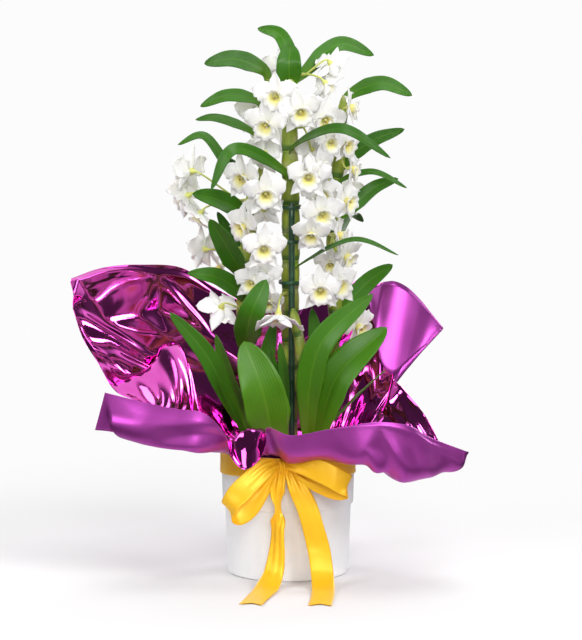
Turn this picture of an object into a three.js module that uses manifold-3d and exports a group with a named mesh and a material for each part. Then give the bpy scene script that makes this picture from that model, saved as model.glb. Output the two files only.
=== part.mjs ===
// A potted dendrobium orchid, dressed as a gift: three tall canes of white blooms and strap leaves
// in a grower's pot of bark, set in a white cover pot. A square of metallised film is folded up
// round the grower's pot and flares over the rim, and a satin ribbon is tied round the collar.
//
// Millimetres, +Z up. The origin is the middle of the cover pot's base, -Y is the front, where the
// bow is, and +X is the right of someone who stands in front of it.

import * as THREE from "three";
import { mergeVertices } from "three/addons/utils/BufferGeometryUtils.js";
import Module from "manifold-3d";

const wasm = await Module();
wasm.setup();

// Driving dimensions.
const POT_HEIGHT = 135;
const COLLAR_Z = 76; // where the collar's step is
const WALL = 2.2;
const POT_FLOOR = 5;
const FOOT_RADIUS = 66.3;
const WAIST_RADIUS = 68.6; // just under the collar
const COLLAR_RADIUS = 71.3; // just over the step
const RIM_RADIUS = 73;
const AROUND = 32; // facets round the pots

const GROW_BASE_Z = 8;
const GROW_TOP_Z = 120;
const GROW_BASE_RADIUS = 44;
const GROW_TOP_RADIUS = 59;
const GROW_WALL = 1.5;
const GROW_FLOOR = 2;
const BARK_TOP_Z = 112;

const FILM_THICKNESS = 0.8;
const FILM_BASE_Z = 6.4;

const RIBBON_WIDTH = 24;
const RIBBON_THICKNESS = 0.8;
const RIBBON_Z = 119.5; // middle of the band round the collar

const STAKE_RADIUS = 3.4;
const STAKE_FOOT = [4, -24, 40];
const STAKE_TOP = [4, -24, 404];

const CANE_SIDES = 6;
const CANE_FOOT_Z = 74; // canes and shoots reach this far down into the bark
const INTERNODE = 30; // distance between two rings on a cane
const HOLE_CLEARANCE = 1.2;
const LEAF_THICKNESS = 1.2;

const TEPAL_THICKNESS = 1.1;
const PEDICEL_RADIUS = 1.1;
const STALK_RADIUS = 2.2;
const STALK_LENGTH = 5;
const ROOT_GAP = 0.5; // from a cane's surface to the stalk of a spray

const COLOURS = {
  pot: { color: 0xf4f2ec, roughness: 0.35, metalness: 0 },
  growPot: { color: 0x2a2c2e, roughness: 0.6, metalness: 0 },
  bark: { color: 0x6b4a31, roughness: 0.95, metalness: 0 },
  film: { color: 0x7d1f6e, roughness: 0.25, metalness: 0.9 },
  ribbon: { color: 0xf2b31c, roughness: 0.4, metalness: 0 },
  stake: { color: 0x1d5a3a, roughness: 0.5, metalness: 0 },
  leaf: { color: 0x4a8a2c, roughness: 0.45, metalness: 0 },
  bloom: { color: 0xf8f6ee, roughness: 0.6, metalness: 0 },
};

const vec = (p) => new THREE.Vector3(...p);
const degrees = THREE.MathUtils.degToRad;

// ---------------------------------------------------------------- solids

/** A manifold solid of shared points and triangles, turned right side out. */
function solidOf(points, faces) {
  let volume = 0;
  for (const [a, b, c] of faces) {
    volume += points[a].dot(points[b].clone().cross(points[c]));
  }
  const triangles = volume < 0 ? faces.map(([a, b, c]) => [a, c, b]) : faces;
  return new wasm.Manifold(new wasm.Mesh({
    numProp: 3,
    vertProperties: new Float32Array(points.flatMap((p) => [p.x, p.y, p.z])),
    triVerts: new Uint32Array(triangles.flat()),
  }));
}

/** A closed solid of a three.js geometry. */
function solidOfGeometry(geometry) {
  geometry.deleteAttribute("normal");
  geometry.deleteAttribute("uv");
  const merged = mergeVertices(geometry, 1e-4);
  const place = merged.getAttribute("position");
  const pointAt = (_, i) => new THREE.Vector3().fromBufferAttribute(place, i);
  const points = Array.from({ length: place.count }, pointAt);
  const index = Array.from(merged.index.array);
  const faces = [];
  for (let i = 0; i < index.length; i += 3) {
    const [a, b, c] = index.slice(i, i + 3);
    if (a !== b && b !== c && a !== c) faces.push([a, b, c]);
  }
  return solidOf(points, faces);
}

/** A three.js geometry of a manifold solid. */
function geometryOf(solid) {
  const { vertProperties, triVerts } = solid.getMesh();
  const geometry = new THREE.BufferGeometry();
  geometry.setAttribute("position", new THREE.BufferAttribute(new Float32Array(vertProperties), 3));
  geometry.setIndex(new THREE.BufferAttribute(new Uint32Array(triVerts), 1));
  geometry.computeVertexNormals();
  return geometry;
}

/** The solids joined as one body. A pocket that the join seals is filled and a loose scrap dropped. */
function joined(solids) {
  const bodies = solids.reduce((whole, solid) => whole.add(solid)).decompose();
  return bodies.reduce((best, body) => (body.volume() > best.volume() ? body : best));
}

/**
 * A closed solid through a row of rings. A ring of one point closes its end, others get a flat cap.
 * The sides named in flips are split along their other diagonal, so that both faces of a thin blade
 * are split alike and never cross.
 */
function loft(rings, flips = []) {
  const points = rings.flat();
  const starts = [];
  let count = 0;
  for (const ring of rings) {
    starts.push(count);
    count += ring.length;
  }
  const faces = [];
  const at = (ring, k) => starts[ring] + (rings[ring].length > 1 ? k % rings[ring].length : 0);
  for (let i = 0; i + 1 < rings.length; i++) {
    const sides = Math.max(rings[i].length, rings[i + 1].length);
    for (let k = 0; k < sides; k++) {
      const flip = flips.includes(k) && rings[i].length === rings[i + 1].length;
      const [near, far] = flip ? [at(i, k), at(i + 1, k + 1)] : [at(i, k + 1), at(i + 1, k)];
      if (rings[i].length > 1) faces.push([at(i, k), at(i, k + 1), far]);
      if (rings[i + 1].length > 1) faces.push([near, at(i + 1, k + 1), at(i + 1, k)]);
    }
  }
  const last = rings.length - 1;
  for (let k = 1; k + 1 < rings[0].length; k++) faces.push([at(0, 0), at(0, k + 1), at(0, k)]);
  for (let k = 1; k + 1 < rings[last].length; k++) faces.push([at(last, 0), at(last, k), at(last, k + 1)]);
  return solidOf(points, faces);
}

/** A round tube along a curve: its radius is radiusAt(share of the length), in steps of equal length. */
function tube(curve, steps, sides, radiusAt) {
  const frames = curve.computeFrenetFrames(steps, false);
  const rings = [];
  for (let i = 0; i <= steps; i++) {
    const centre = curve.getPointAt(i / steps);
    const radius = radiusAt(i / steps);
    rings.push(Array.from({ length: sides }, (_, k) => {
      const turn = (2 * Math.PI * k) / sides;
      return centre.clone()
        .addScaledVector(frames.normals[i], radius * Math.cos(turn))
        .addScaledVector(frames.binormals[i], radius * Math.sin(turn));
    }));
  }
  return loft(rings);
}

/** A strip of even thickness along stations { at, across }, with across the way its width runs. */
function strip(stations, thickness) {
  const rings = stations.map(({ at, across, width = RIBBON_WIDTH }, i) => {
    const before = vec(stations[Math.max(i - 1, 0)].at);
    const after = vec(stations[Math.min(i + 1, stations.length - 1)].at);
    const along = after.sub(before).normalize();
    const side = vec(across).addScaledVector(along, -vec(across).dot(along)).normalize();
    const through = along.clone().cross(side);
    const corner = (s, t) =>
      vec(at).addScaledVector(side, (s * width) / 2).addScaledVector(through, (t * thickness) / 2);
    return [corner(-1, -1), corner(1, -1), corner(1, 1), corner(-1, 1)];
  });
  return loft(rings, [2, 3]);
}

/** A solid turned from a closed profile of [radius, z] points. */
function turned(profile) {
  const outline = [...profile, profile[0]].map(([radius, z]) => new THREE.Vector2(radius, z));
  return solidOfGeometry(new THREE.LatheGeometry(outline, AROUND).rotateX(Math.PI / 2));
}

/** An upright cylinder from one height to another. */
function upright(x, y, radius, fromZ, toZ, sides) {
  const cylinder = new THREE.CylinderGeometry(radius, radius, toZ - fromZ, sides);
  return solidOfGeometry(cylinder.rotateX(Math.PI / 2).translate(x, y, (fromZ + toZ) / 2));
}

// ---------------------------------------------------------------- pots and bark

/** The white cover pot: a plain cup with a deep collar that stands out over its waist. */
function coverPot() {
  const step = COLLAR_RADIUS - WAIST_RADIUS;
  return turned([
    [0, 0],
    [FOOT_RADIUS - 1.5, 0],
    [FOOT_RADIUS, 1.5],
    [WAIST_RADIUS, COLLAR_Z],
    [COLLAR_RADIUS, COLLAR_Z],
    [RIM_RADIUS, POT_HEIGHT - 0.8],
    [RIM_RADIUS - 0.8, POT_HEIGHT],
    [RIM_RADIUS - WALL, POT_HEIGHT],
    [COLLAR_RADIUS - WALL, COLLAR_Z + WALL],
    [COLLAR_RADIUS - WALL - step, COLLAR_Z],
    [FOOT_RADIUS - WALL, POT_FLOOR],
    [0, POT_FLOOR],
  ]);
}

/** The grower's pot inside it, with a rolled rim and four drain holes at the edge of its floor. */
function growPot() {
  const rim = 2;
  const cup = turned([
    [0, GROW_BASE_Z],
    [GROW_BASE_RADIUS, GROW_BASE_Z],
    [GROW_TOP_RADIUS, GROW_TOP_Z - 6],
    [GROW_TOP_RADIUS + rim, GROW_TOP_Z - 6],
    [GROW_TOP_RADIUS + rim, GROW_TOP_Z],
    [GROW_TOP_RADIUS - GROW_WALL, GROW_TOP_Z],
    [GROW_BASE_RADIUS - GROW_WALL, GROW_BASE_Z + GROW_FLOOR],
    [0, GROW_BASE_Z + GROW_FLOOR],
  ]);
  const drainRadius = 5;
  const drains = [45, 135, 225, 315].map((turn) => {
    const out = GROW_BASE_RADIUS - 3 * drainRadius;
    const [x, y] = [out * Math.cos(degrees(turn)), out * Math.sin(degrees(turn))];
    return upright(x, y, drainRadius, GROW_BASE_Z - 1, GROW_BASE_Z + GROW_FLOOR + 1, 8);
  });
  return drains.reduce((pot, drain) => pot.subtract(drain), cup);
}

/** The bark: chips as a rough top on one body, with a plain hole for each stem that stands in it. */
function bark(holes) {
  const around = 24;
  const gap = 0.4;
  const foot = GROW_BASE_Z + GROW_FLOOR + gap;
  const wallAt = (z) => {
    const share = (z - GROW_BASE_Z - GROW_FLOOR) / (GROW_TOP_Z - GROW_BASE_Z - GROW_FLOOR);
    return GROW_BASE_RADIUS + share * (GROW_TOP_RADIUS - GROW_BASE_RADIUS) - GROW_WALL - 2 * gap;
  };
  const ring = (radius, heightAt) => Array.from({ length: around }, (_, k) => {
    const turn = (2 * Math.PI * k) / around;
    return new THREE.Vector3(radius * Math.cos(turn), radius * Math.sin(turn), heightAt(k));
  });
  const relief = 3;
  const chips = (row) => (k) =>
    BARK_TOP_Z - 2 + relief * Math.sin(k * 2.4 + row * 1.9) * Math.cos(k * 1.3 - row * 2.7);
  const rim = BARK_TOP_Z - 8;
  const body = loft([
    ring(wallAt(foot), () => foot),
    ring(wallAt(rim), () => rim),
    ring(wallAt(rim) - 4, chips(0)),
    ring(wallAt(rim) * 0.7, chips(1)),
    ring(wallAt(rim) * 0.45, chips(2)),
    ring(wallAt(rim) * 0.2, chips(3)),
    [new THREE.Vector3(0, 0, BARK_TOP_Z)],
  ]);
  return holes.reduce((whole, { x, y, radius, foot: depth }) =>
    whole.subtract(upright(x, y, radius + HOLE_CLEARANCE, depth - 1, BARK_TOP_Z + 20, 6)), body);
}

// ---------------------------------------------------------------- film wrap

// The film is a square sheet. Each column below is one line on it, from the pot's rim outward to its
// cut edge: the sheet's corners are the long columns. They go round the pot from the front centre by
// the right, the back and the left. The right back corner is folded over, so its columns run to the
// fold, and flap is the point of the cut edge beyond it. At the left one column climbs to the crest of
// a pleat and follows it out.
const FILM_COLUMNS = [
  { run: [[-1, -80, 139], [-2, -98, 134], [0, -113, 146], [2, -122, 167]] },
  { run: [[24, -76, 140], [36, -104, 138], [42, -122, 150], [44, -130, 175]] },
  { run: [[46, -68, 138], [68, -114, 134], [75, -132, 142], [74, -135, 181]] },
  { run: [[66, -56, 137], [100, -126, 127], [98, -134, 183]] },
  { run: [[78, -44, 137], [130, -118, 124], [128, -122, 177]] },
  { run: [[85, -34, 137], [152, -104, 121], [149, -105, 163]] },
  { run: [[88, -22, 137], [174, -84, 121], [193, -80, 142]] },
  { run: [[90, -12, 137], [146, -44, 130], [168, -42, 140]] },
  { run: [[89, 0, 138], [130, 0, 134], [166, 0, 140]] },
  { run: [[86, 12, 140], [118, 14, 146], [150, 15, 169]] },
  { run: [[82, 22, 142], [108, 26, 168], [126, 35, 197]] },
  { run: [[81, 25, 143], [107, 30, 178], [117, 33, 208]] },
  { run: [[80, 28, 144], [110, 38, 188], [139, 60, 240]] },
  { run: [[78, 31, 144], [118, 48, 200], [174, 75, 258]], flap: [167, 63, 253] },
  { run: [[74, 37, 144], [110, 55, 206], [160, 73, 275]], flap: [149, 54, 239] },
  { run: [[69, 44, 144], [102, 60, 212], [147, 68, 291]], flap: [128, 36, 222] },
  { run: [[64, 51, 144], [93, 66, 218], [131, 64, 306]], flap: [115, 26, 212] },
  { run: [[60, 55, 144], [87, 69, 220], [118, 63, 312]], flap: [104, 26, 222] },
  { run: [[54, 60, 144], [78, 73, 222], [106, 67, 311]], flap: [97, 43, 262] },
  { run: [[44, 68, 144], [60, 84, 222], [80, 92, 310]] },
  { run: [[22, 78, 143], [30, 98, 208], [44, 122, 290]] },
  { run: [[-2, 81, 143], [0, 100, 202], [8, 130, 273]] },
  { run: [[-26, 77, 143], [-32, 96, 204], [-36, 128, 278]] },
  { run: [[-44, 68, 143], [-62, 84, 212], [-80, 112, 300]] },
  { run: [[-56, 58, 143], [-88, 70, 220], [-119, 92, 325]] },
  { run: [[-65, 47, 143], [-108, 56, 220], [-163, 72, 330]] },
  { run: [[-71, 36, 143], [-124, 42, 218], [-205, 50, 329]] },
  { run: [[-76, 25, 142], [-136, 26, 210], [-236, 28, 320]] },
  { run: [[-79, 14, 141], [-140, 10, 198], [-235, 10, 298]] },
  { run: [[-81, 4, 140], [-140, -4, 186], [-227, -5, 263]] },
  { run: [[-81, -6, 139], [-128, 2, 192], [-206, -20, 228]] },
  { run: [[-79, -15, 139], [-104, 14, 200], [-122, 46, 246], [-169, -45, 210], [-181, -73, 203]] },
  { run: [[-76, -25, 139], [-112, -48, 184], [-158, -78, 192]] },
  { run: [[-74, -33, 138], [-120, -62, 164], [-170, -88, 163], [-203, -94, 169]] },
  { run: [[-72, -38, 138], [-120, -74, 154], [-178, -101, 165], [-192, -97, 209]] },
  { run: [[-69, -44, 138], [-116, -88, 150], [-152, -114, 160], [-145, -114, 200]] },
  { run: [[-63, -51, 138], [-100, -102, 148], [-122, -118, 154], [-116, -120, 195]] },
  { run: [[-56, -58, 138], [-78, -100, 147], [-94, -121, 152], [-88, -123, 191]] },
  { run: [[-47, -65, 139], [-57, -92, 154], [-65, -118, 167]] },
  { run: [[-43, -68, 139], [-50, -84, 166], [-56, -104, 153], [-60, -118, 145]] },
  { run: [[-38, -71, 139], [-43, -84, 169], [-46, -104, 147], [-46, -119, 131]] },
  { run: [[-33, -73, 139], [-36, -85, 169], [-34, -105, 151], [-31, -119, 140]] },
  { run: [[-28, -75, 140], [-30, -87, 169], [-26, -106, 165], [-22, -119, 160]] },
  { run: [[-21, -76, 141], [-22, -90, 166], [-21, -108, 172], [-22, -119, 174]] },
];
const EDGE_SHARES = [0.2, 0.42, 0.64, 0.82, 0.93, 1]; // of a column's run, one per row past the rim
const FOLD_SHARES = [0.22, 0.46, 0.7, 0.9, 1]; // of a run that ends at the fold, with the flap beyond

/** The film: a cup round the grower's pot that opens over the rim into folds, as one thin shell. */
function filmWrap() {
  const inside = [
    [GROW_BASE_RADIUS + 4, FILM_BASE_Z],
    [GROW_TOP_RADIUS + 5.5, GROW_TOP_Z],
    [RIM_RADIUS - 5.4, POT_HEIGHT - 1.5],
    [RIM_RADIUS - 1.2, POT_HEIGHT + 3],
  ];
  const columns = FILM_COLUMNS.map(({ run, flap }) => {
    const turn = Math.atan2(run[0][1], run[0][0]);
    const [c, s] = [Math.cos(turn), Math.sin(turn)];
    const cup = inside.map(([radius, z]) => new THREE.Vector3(radius * c, radius * s, z));
    const flare = new THREE.CatmullRomCurve3([cup.at(-1), ...run.map(vec)]);
    const rows = (flap ? FOLD_SHARES : EDGE_SHARES).map((share) => flare.getPointAt(share));
    return [...cup, ...rows, ...(flap ? [vec(flap)] : [])];
  });
  return shell(columns, new THREE.Vector3(0, 0, FILM_BASE_Z), FILM_THICKNESS);
}

/** A thin closed shell on a sheet: columns of points that go round a middle point, offset both ways. */
function shell(columns, middle, thickness) {
  const rows = columns[0].length;
  const around = columns.length;
  const at = (i, j) => (j < 0 ? middle : columns[(i + around) % around][j]);
  const normal = (i, j) => {
    const along = at(i, Math.min(j + 1, rows - 1)).clone().sub(at(i, j - 1));
    const across = at(i + 1, j).clone().sub(at(i - 1, j));
    return across.cross(along).normalize();
  };
  const down = new THREE.Vector3(0, 0, -1);
  const points = [];
  for (const side of [1, -1]) {
    points.push(middle.clone().addScaledVector(down, (side * thickness) / 2));
    for (let i = 0; i < around; i++) {
      for (let j = 0; j < rows; j++) {
        points.push(at(i, j).clone().addScaledVector(normal(i, j), (side * thickness) / 2));
      }
    }
  }
  const half = 1 + around * rows;
  const index = (side, i, j) => side * half + 1 + (i % around) * rows + j;
  const faces = [];
  for (let i = 0; i < around; i++) {
    for (const side of [0, 1]) {
      const face = (a, b, c) => faces.push(side ? [a, c, b] : [a, b, c]);
      face(side * half, index(side, i + 1, 0), index(side, i, 0));
      for (let j = 0; j + 1 < rows; j++) {
        face(index(side, i, j), index(side, i + 1, j), index(side, i + 1, j + 1));
        face(index(side, i, j), index(side, i + 1, j + 1), index(side, i, j + 1));
      }
    }
    const edge = rows - 1;
    faces.push([index(0, i, edge), index(0, i + 1, edge), index(1, i + 1, edge)]);
    faces.push([index(0, i, edge), index(1, i + 1, edge), index(1, i, edge)]);
  }
  return solidOf(points, faces);
}

// ---------------------------------------------------------------- ribbon

/** The ribbon: a band round the collar, a knot, two loops and two tails that end on the floor. */
function ribbon() {
  const inner = RIM_RADIUS + 0.5;
  const half = RIBBON_WIDTH / 2;
  const band = turned([
    [inner, RIBBON_Z - half],
    [inner + RIBBON_THICKNESS, RIBBON_Z - half],
    [inner + RIBBON_THICKNESS, RIBBON_Z + half],
    [inner, RIBBON_Z + half],
  ]);
  const knot = loft([
    [vec([-20, -73.8, 122])],
    [vec([-14, -73.6, 111]), vec([-15, -89, 116]), vec([-14, -90, 128]), vec([-14, -76, 133])],
    [vec([-4, -73.6, 109]), vec([-4, -92, 114]), vec([-3, -93, 130]), vec([-3, -76, 135])],
    [vec([6, -73.6, 111]), vec([6, -89, 116]), vec([7, -90, 129]), vec([6, -76, 133])],
    [vec([12, -73.8, 122])],
  ]);
  const leftLoop = strip([
    { at: [-6, -85, 125], across: [0.1, 0.5, 1], width: 12 },
    { at: [-22, -92, 121], across: [0.2, 0.3, 1], width: 20 },
    { at: [-42, -102, 113], across: [0.4, 0.25, 1] },
    { at: [-60, -107, 97], across: [0.7, 0.3, 0.8] },
    { at: [-67, -102, 84], across: [0.8, 0.6, 0.4] },
    { at: [-58, -95, 78], across: [0.6, 0.9, 0.3] },
    { at: [-42, -90, 90], across: [0.4, 0.7, 0.6] },
    { at: [-24, -86, 108], across: [0.3, 0.3, 1], width: 18 },
    { at: [-8, -84, 120], across: [0.1, 0.3, 1], width: 10 },
  ], RIBBON_THICKNESS);
  const rightLoop = strip([
    { at: [-2, -85, 125], across: [0, 0.5, 1], width: 12 },
    { at: [12, -92, 127], across: [-0.1, 0.3, 1], width: 18 },
    { at: [32, -101, 126], across: [-0.2, 0.3, 1] },
    { at: [52, -105, 117], across: [-0.5, 0.3, 1] },
    { at: [64, -100, 103], across: [-0.8, 0.5, 0.7] },
    { at: [56, -92, 95], across: [-0.7, 0.8, 0.5] },
    { at: [38, -88, 100], across: [-0.4, 0.6, 0.8] },
    { at: [18, -86, 112], across: [-0.3, 0.3, 1], width: 18 },
    { at: [2, -84, 121], across: [-0.1, 0.3, 1], width: 10 },
  ], RIBBON_THICKNESS);
  const leftTail = strip([
    { at: [-8, -85, 118], across: [1, 0.1, 0.1], width: 14 },
    { at: [-11, -89, 100], across: [1, -0.2, 0], width: 15 },
    { at: [-11, -86, 82], across: [1, 0.5, 0], width: 12 },
    { at: [-11, -84, 60], across: [1, -0.3, 0.1], width: 15 },
    { at: [-12, -86, 36], across: [1, 0.1, 0], width: 18 },
    { at: [-15, -92, 16], across: [1, 0.2, 0.1], width: 20 },
    { at: [-21, -108, 5], across: [1, 0.3, 0] },
    { at: [-30, -140, 1.2], across: [1, 0.3, 0] },
    { at: [-38, -176, 1], across: [1, 0.35, 0] },
  ], RIBBON_THICKNESS);
  const rightTail = strip([
    { at: [2, -85, 118], across: [1, 0.1, -0.3], width: 14 },
    { at: [10, -90, 104], across: [1, 0.1, -0.3], width: 18 },
    { at: [17, -90, 86], across: [1, 0.1, -0.2], width: 20 },
    { at: [24, -88, 62], across: [1, -0.1, -0.2] },
    { at: [31, -87, 38], across: [1, 0.1, -0.2] },
    { at: [35, -92, 17], across: [1, 0, -0.1] },
    { at: [37, -108, 5], across: [1, 0, 0] },
    { at: [36, -140, 1.2], across: [1, 0.1, 0] },
    { at: [33, -180, 1], across: [1, 0.1, 0] },
  ], RIBBON_THICKNESS);
  const whole = joined([band, knot, leftLoop, rightLoop, leftTail, rightTail]);
  return whole.subtract(notch([-38.5, -177, 1], 18)).subtract(notch([33, -181, 1], 6));
}

/** The V that is cut from a tail's end: a wedge whose point looks back along the tail. */
function notch([x, y, z], turn) {
  const shape = new THREE.Shape([
    new THREE.Vector2(0, 11),
    new THREE.Vector2(-9.5, -6),
    new THREE.Vector2(9.5, -6),
  ]);
  const wedge = new THREE.ExtrudeGeometry(shape, { depth: 6, bevelEnabled: false });
  return solidOfGeometry(wedge.rotateZ(degrees(-turn)).translate(x, y, z - 3));
}

// ---------------------------------------------------------------- canes, leaves and stake

/** One strap leaf through three points, with its midrib as a shallow V, that faces the given way. */
function leafBlade({ from, by, tip, width, faces = [0, -0.7, 0.7] }, root) {
  const curve = new THREE.CatmullRomCurve3([root, vec(from), vec(by), vec(tip)]);
  const stations = [0, 0.18, 0.4, 0.65, 0.87];
  const rings = stations.map((share) => {
    const centre = curve.getPointAt(share);
    const along = curve.getTangentAt(share);
    const side = along.clone().cross(vec(faces)).normalize();
    const up = side.clone().cross(along).normalize();
    const half = (width / 2) * Math.min(1, 0.3 + 1.7 * share) * Math.sqrt(1 - share ** 4);
    const lift = 0.22 * half;
    return [
      centre.clone().addScaledVector(side, half).addScaledVector(up, lift),
      centre.clone().addScaledVector(up, LEAF_THICKNESS / 2),
      centre.clone().addScaledVector(side, -half).addScaledVector(up, lift),
      centre.clone().addScaledVector(up, -LEAF_THICKNESS / 2),
    ];
  });
  rings.push([curve.getPointAt(1)]);
  return loft(rings, [1, 3]);
}

const CANES = {
  cane_centre: {
    route: [[3, -6, CANE_FOOT_Z], [3, -6, 130], [2, -7, 250], [3, -8, 380], [2, -8, 470], [3, -6, 548]],
    radius: 10,
    leaves: [
      { from: [5, -5, 545], by: [-9, 4, 583], tip: [-33, 12, 590], width: 17, faces: [0.1, -1, 0.25] },
      { from: [2, -10, 532], by: [1, -18, 552], tip: [3, -8, 573], width: 28, faces: [0, -1, 0.2] },
      { from: [15, 0, 540], by: [56, 10, 573], tip: [93, 16, 561], width: 19, faces: [0, -1, 0.35] },
      { from: [4, -22, 462], by: [57, -77, 484], tip: [107, -86, 454], width: 14, faces: [0, -0.8, 0.6] },
      { from: [-1, -20, 434], by: [-58, -66, 462], tip: [-81, -72, 420], width: 15, faces: [0, -0.9, 0.4] },
      { from: [13, -22, 337], by: [73, -74, 368], tip: [116, -78, 352], width: 9, faces: [0, -0.6, 0.8] },
      { from: [2, 8, 496], by: [-8, 52, 514], tip: [-6, 88, 492], width: 15, faces: [0, 0.5, 0.85] },
    ],
  },
  cane_left: {
    route: [
      [-24, 4, CANE_FOOT_Z], [-24, 4, 125], [-47, 8, 250], [-48, 8, 310],
      [-40, 8, 390], [-31, 8, 460], [-21, 5, 536],
    ],
    radius: 8,
    leaves: [
      { from: [-24, 5, 543], by: [-57, 0, 557], tip: [-90, -4, 552], width: 21, faces: [0, -1, 0.3] },
      { from: [-33, 12, 512], by: [-65, 14, 518], tip: [-95, 12, 506], width: 15, faces: [0, -1, 0.3] },
      { from: [-44, 8, 482], by: [-79, 10, 494], tip: [-100, 6, 492], width: 11, faces: [0, -1, 0.4] },
      { from: [-60, 5, 437], by: [-92, 4, 475], tip: [-119, 0, 465], width: 11, faces: [0, -1, 0.5] },
      { from: [-47, 0, 390], by: [-74, -30, 407], tip: [-101, -55, 415], width: 24, faces: [0, -1, 0.4] },
      { from: [-50, -2, 325], by: [-66, -30, 358], tip: [-83, -48, 388], width: 26, faces: [-0.4, -1, 0.4] },
      { from: [-48, -5, 301], by: [-75, -28, 324], tip: [-107, -45, 330], width: 21, faces: [0, -1, 0.4] },
      { from: [-46, -10, 252], by: [-38, -42, 289], tip: [-23, -38, 323], width: 31, faces: [0, -1, 0.1] },
      { from: [-50, 14, 340], by: [-64, 18, 368], tip: [-77, 16, 392], width: 14, faces: [-0.3, -0.6, 0.7] },
      { from: [-40, 20, 420], by: [-58, 56, 446], tip: [-70, 92, 428], width: 15, faces: [0, 0.5, 0.85] },
    ],
  },
  cane_right: {
    route: [
      [26, 10, CANE_FOOT_Z], [26, 10, 125], [50, 12, 250],
      [49, 12, 400], [54, 12, 440], [60, 10, 518],
    ],
    radius: 8,
    leaves: [
      { from: [64, 13, 516], by: [101, 10, 531], tip: [134, 6, 518], width: 18, faces: [0, -1, 0.3] },
      { from: [57, 12, 439], by: [87, 10, 467], tip: [126, 6, 482], width: 17, faces: [0, -1, 0.3] },
      { from: [57, 4, 426], by: [92, -8, 436], tip: [128, -8, 419], width: 9 },
      { from: [64, 14, 392], by: [94, 20, 418], tip: [120, 16, 428], width: 17, faces: [0, -1, 0.3] },
      { from: [60, 12, 287], by: [90, 12, 318], tip: [114, 8, 335], width: 21, faces: [0, -1, 0.3] },
      { from: [54, 24, 352], by: [70, 58, 384], tip: [84, 94, 376], width: 15, faces: [0, 0.5, 0.85] },
    ],
  },
};

const SHOOTS = {
  shoot_left: {
    route: [[-34, -22, CANE_FOOT_Z], [-34, -22, 118], [-42, -24, 158]],
    radius: 5,
    leaves: [
      { from: [-52, -25, 168], by: [-87, -40, 241], tip: [-126, -52, 289], width: 22, faces: [0, -1, 0.4] },
      { from: [-44, -20, 164], by: [-63, -18, 212], tip: [-78, -20, 262], width: 16, faces: [-0.5, -1, 0.4] },
      { from: [-46, -26, 152], by: [-60, -36, 184], tip: [-74, -42, 212], width: 8 },
      { from: [-34, -18, 162], by: [-25, -11, 225], tip: [-15, -9, 276], width: 20, faces: [0, -1, 0.2] },
    ],
  },
  shoot_front: {
    route: [[-12, -36, CANE_FOOT_Z], [-12, -36, 118], [-14, -40, 156]],
    radius: 5,
    leaves: [
      { from: [-15, -46, 142], by: [-27, -66, 205], tip: [-47, -60, 259], width: 50, faces: [0.1, -1, 0.3] },
      { from: [-12, -36, 158], by: [-10, -26, 203], tip: [-20, -24, 248], width: 12, faces: [0.6, -1, 0.2] },
      { from: [-8, -38, 156], by: [-4, -36, 212], tip: [-9, -36, 256], width: 13, faces: [-0.3, -1, 0.2] },
    ],
  },
  shoot_right: {
    route: [[24, -30, CANE_FOOT_Z], [24, -30, 118], [26, -32, 156], [18, -37, 225], [5, -37, 292]],
    radius: 7,
    leaves: [
      { from: [22, -40, 156], by: [33, -62, 252], tip: [90, -64, 310], width: 31, faces: [-0.2, -1, 0.3] },
      { from: [31, -37, 152], by: [52, -50, 219], tip: [106, -44, 272], width: 41, faces: [-0.3, -1, 0.4] },
      { from: [34, -24, 150], by: [72, -20, 191], tip: [105, -22, 223], width: 14, faces: [-0.5, 0, 1] },
      { from: [22, -22, 156], by: [24, 20, 210], tip: [22, 52, 238], width: 18, faces: [0, -0.7, 0.7] },
      { from: [30, -22, 156], by: [33, -12, 225], tip: [26, -10, 290], width: 22, faces: [0, -1, 0.2] },
    ],
  },
};

const routeOf = (stem) => new THREE.CatmullRomCurve3(stem.route.map(vec));

/** A cane's radius along it: slim at the foot and the tip, and drawn in at each ring. */
function caneRadius(stem, rings) {
  return (share) => {
    const body = stem.radius * (0.7 + 0.3 * Math.sin(Math.PI * share ** 1.3));
    const waist = Math.round(share * rings * 2) % 2 ? 1 : 0.82;
    return body * waist * (share > 0.97 ? 0.6 : 1);
  };
}

/** A cane or a shoot with its leaves, which grow out of it, as one solid. */
function leafyStem(stem) {
  const curve = routeOf(stem);
  const rings = Math.round(curve.getLength() / INTERNODE);
  const cane = tube(curve, rings * 2, CANE_SIDES, caneRadius(stem, rings));
  const leaves = stem.leaves.map((leaf) => {
    const drop = 10; // the leaf leaves the cane's middle this far under its visible base
    return leafBlade(leaf, axisAt(stem, leaf.from[2] - drop));
  });
  return joined([cane, ...leaves]);
}

/** The point of a stem's middle line at a height. */
function axisAt(stem, z) {
  const points = routeOf(stem).getSpacedPoints(200);
  return points.reduce((best, p) => (Math.abs(p.z - z) < Math.abs(best.z - z) ? p : best));
}

function plantStake() {
  return tube(new THREE.LineCurve3(vec(STAKE_FOOT), vec(STAKE_TOP)), 1, 8, () => STAKE_RADIUS);
}

/** A twist tie: a band round the stake and the cane behind it, a little clear of both. */
function tie(z) {
  const cane = axisAt(CANES.cane_centre, z);
  const stake = new THREE.Vector2(STAKE_TOP[0], STAKE_TOP[1]);
  const clear = 1.2;
  const [front, back] = [STAKE_RADIUS + clear, CANES.cane_centre.radius + clear];
  const outline = (grow) => {
    const shape = new THREE.Shape();
    shape.absarc(stake.x, stake.y, front + grow, Math.PI, 2 * Math.PI);
    shape.absarc(cane.x, cane.y, back + grow, 0, Math.PI);
    return shape;
  };
  const body = (grow, height) => {
    const extrusion = { depth: height, bevelEnabled: false, curveSegments: 3 };
    const block = new THREE.ExtrudeGeometry(outline(grow), extrusion);
    return solidOfGeometry(block.translate(0, 0, z - height / 2));
  };
  return body(1.6, 4).subtract(body(0, 6));
}

// ---------------------------------------------------------------- blooms

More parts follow.
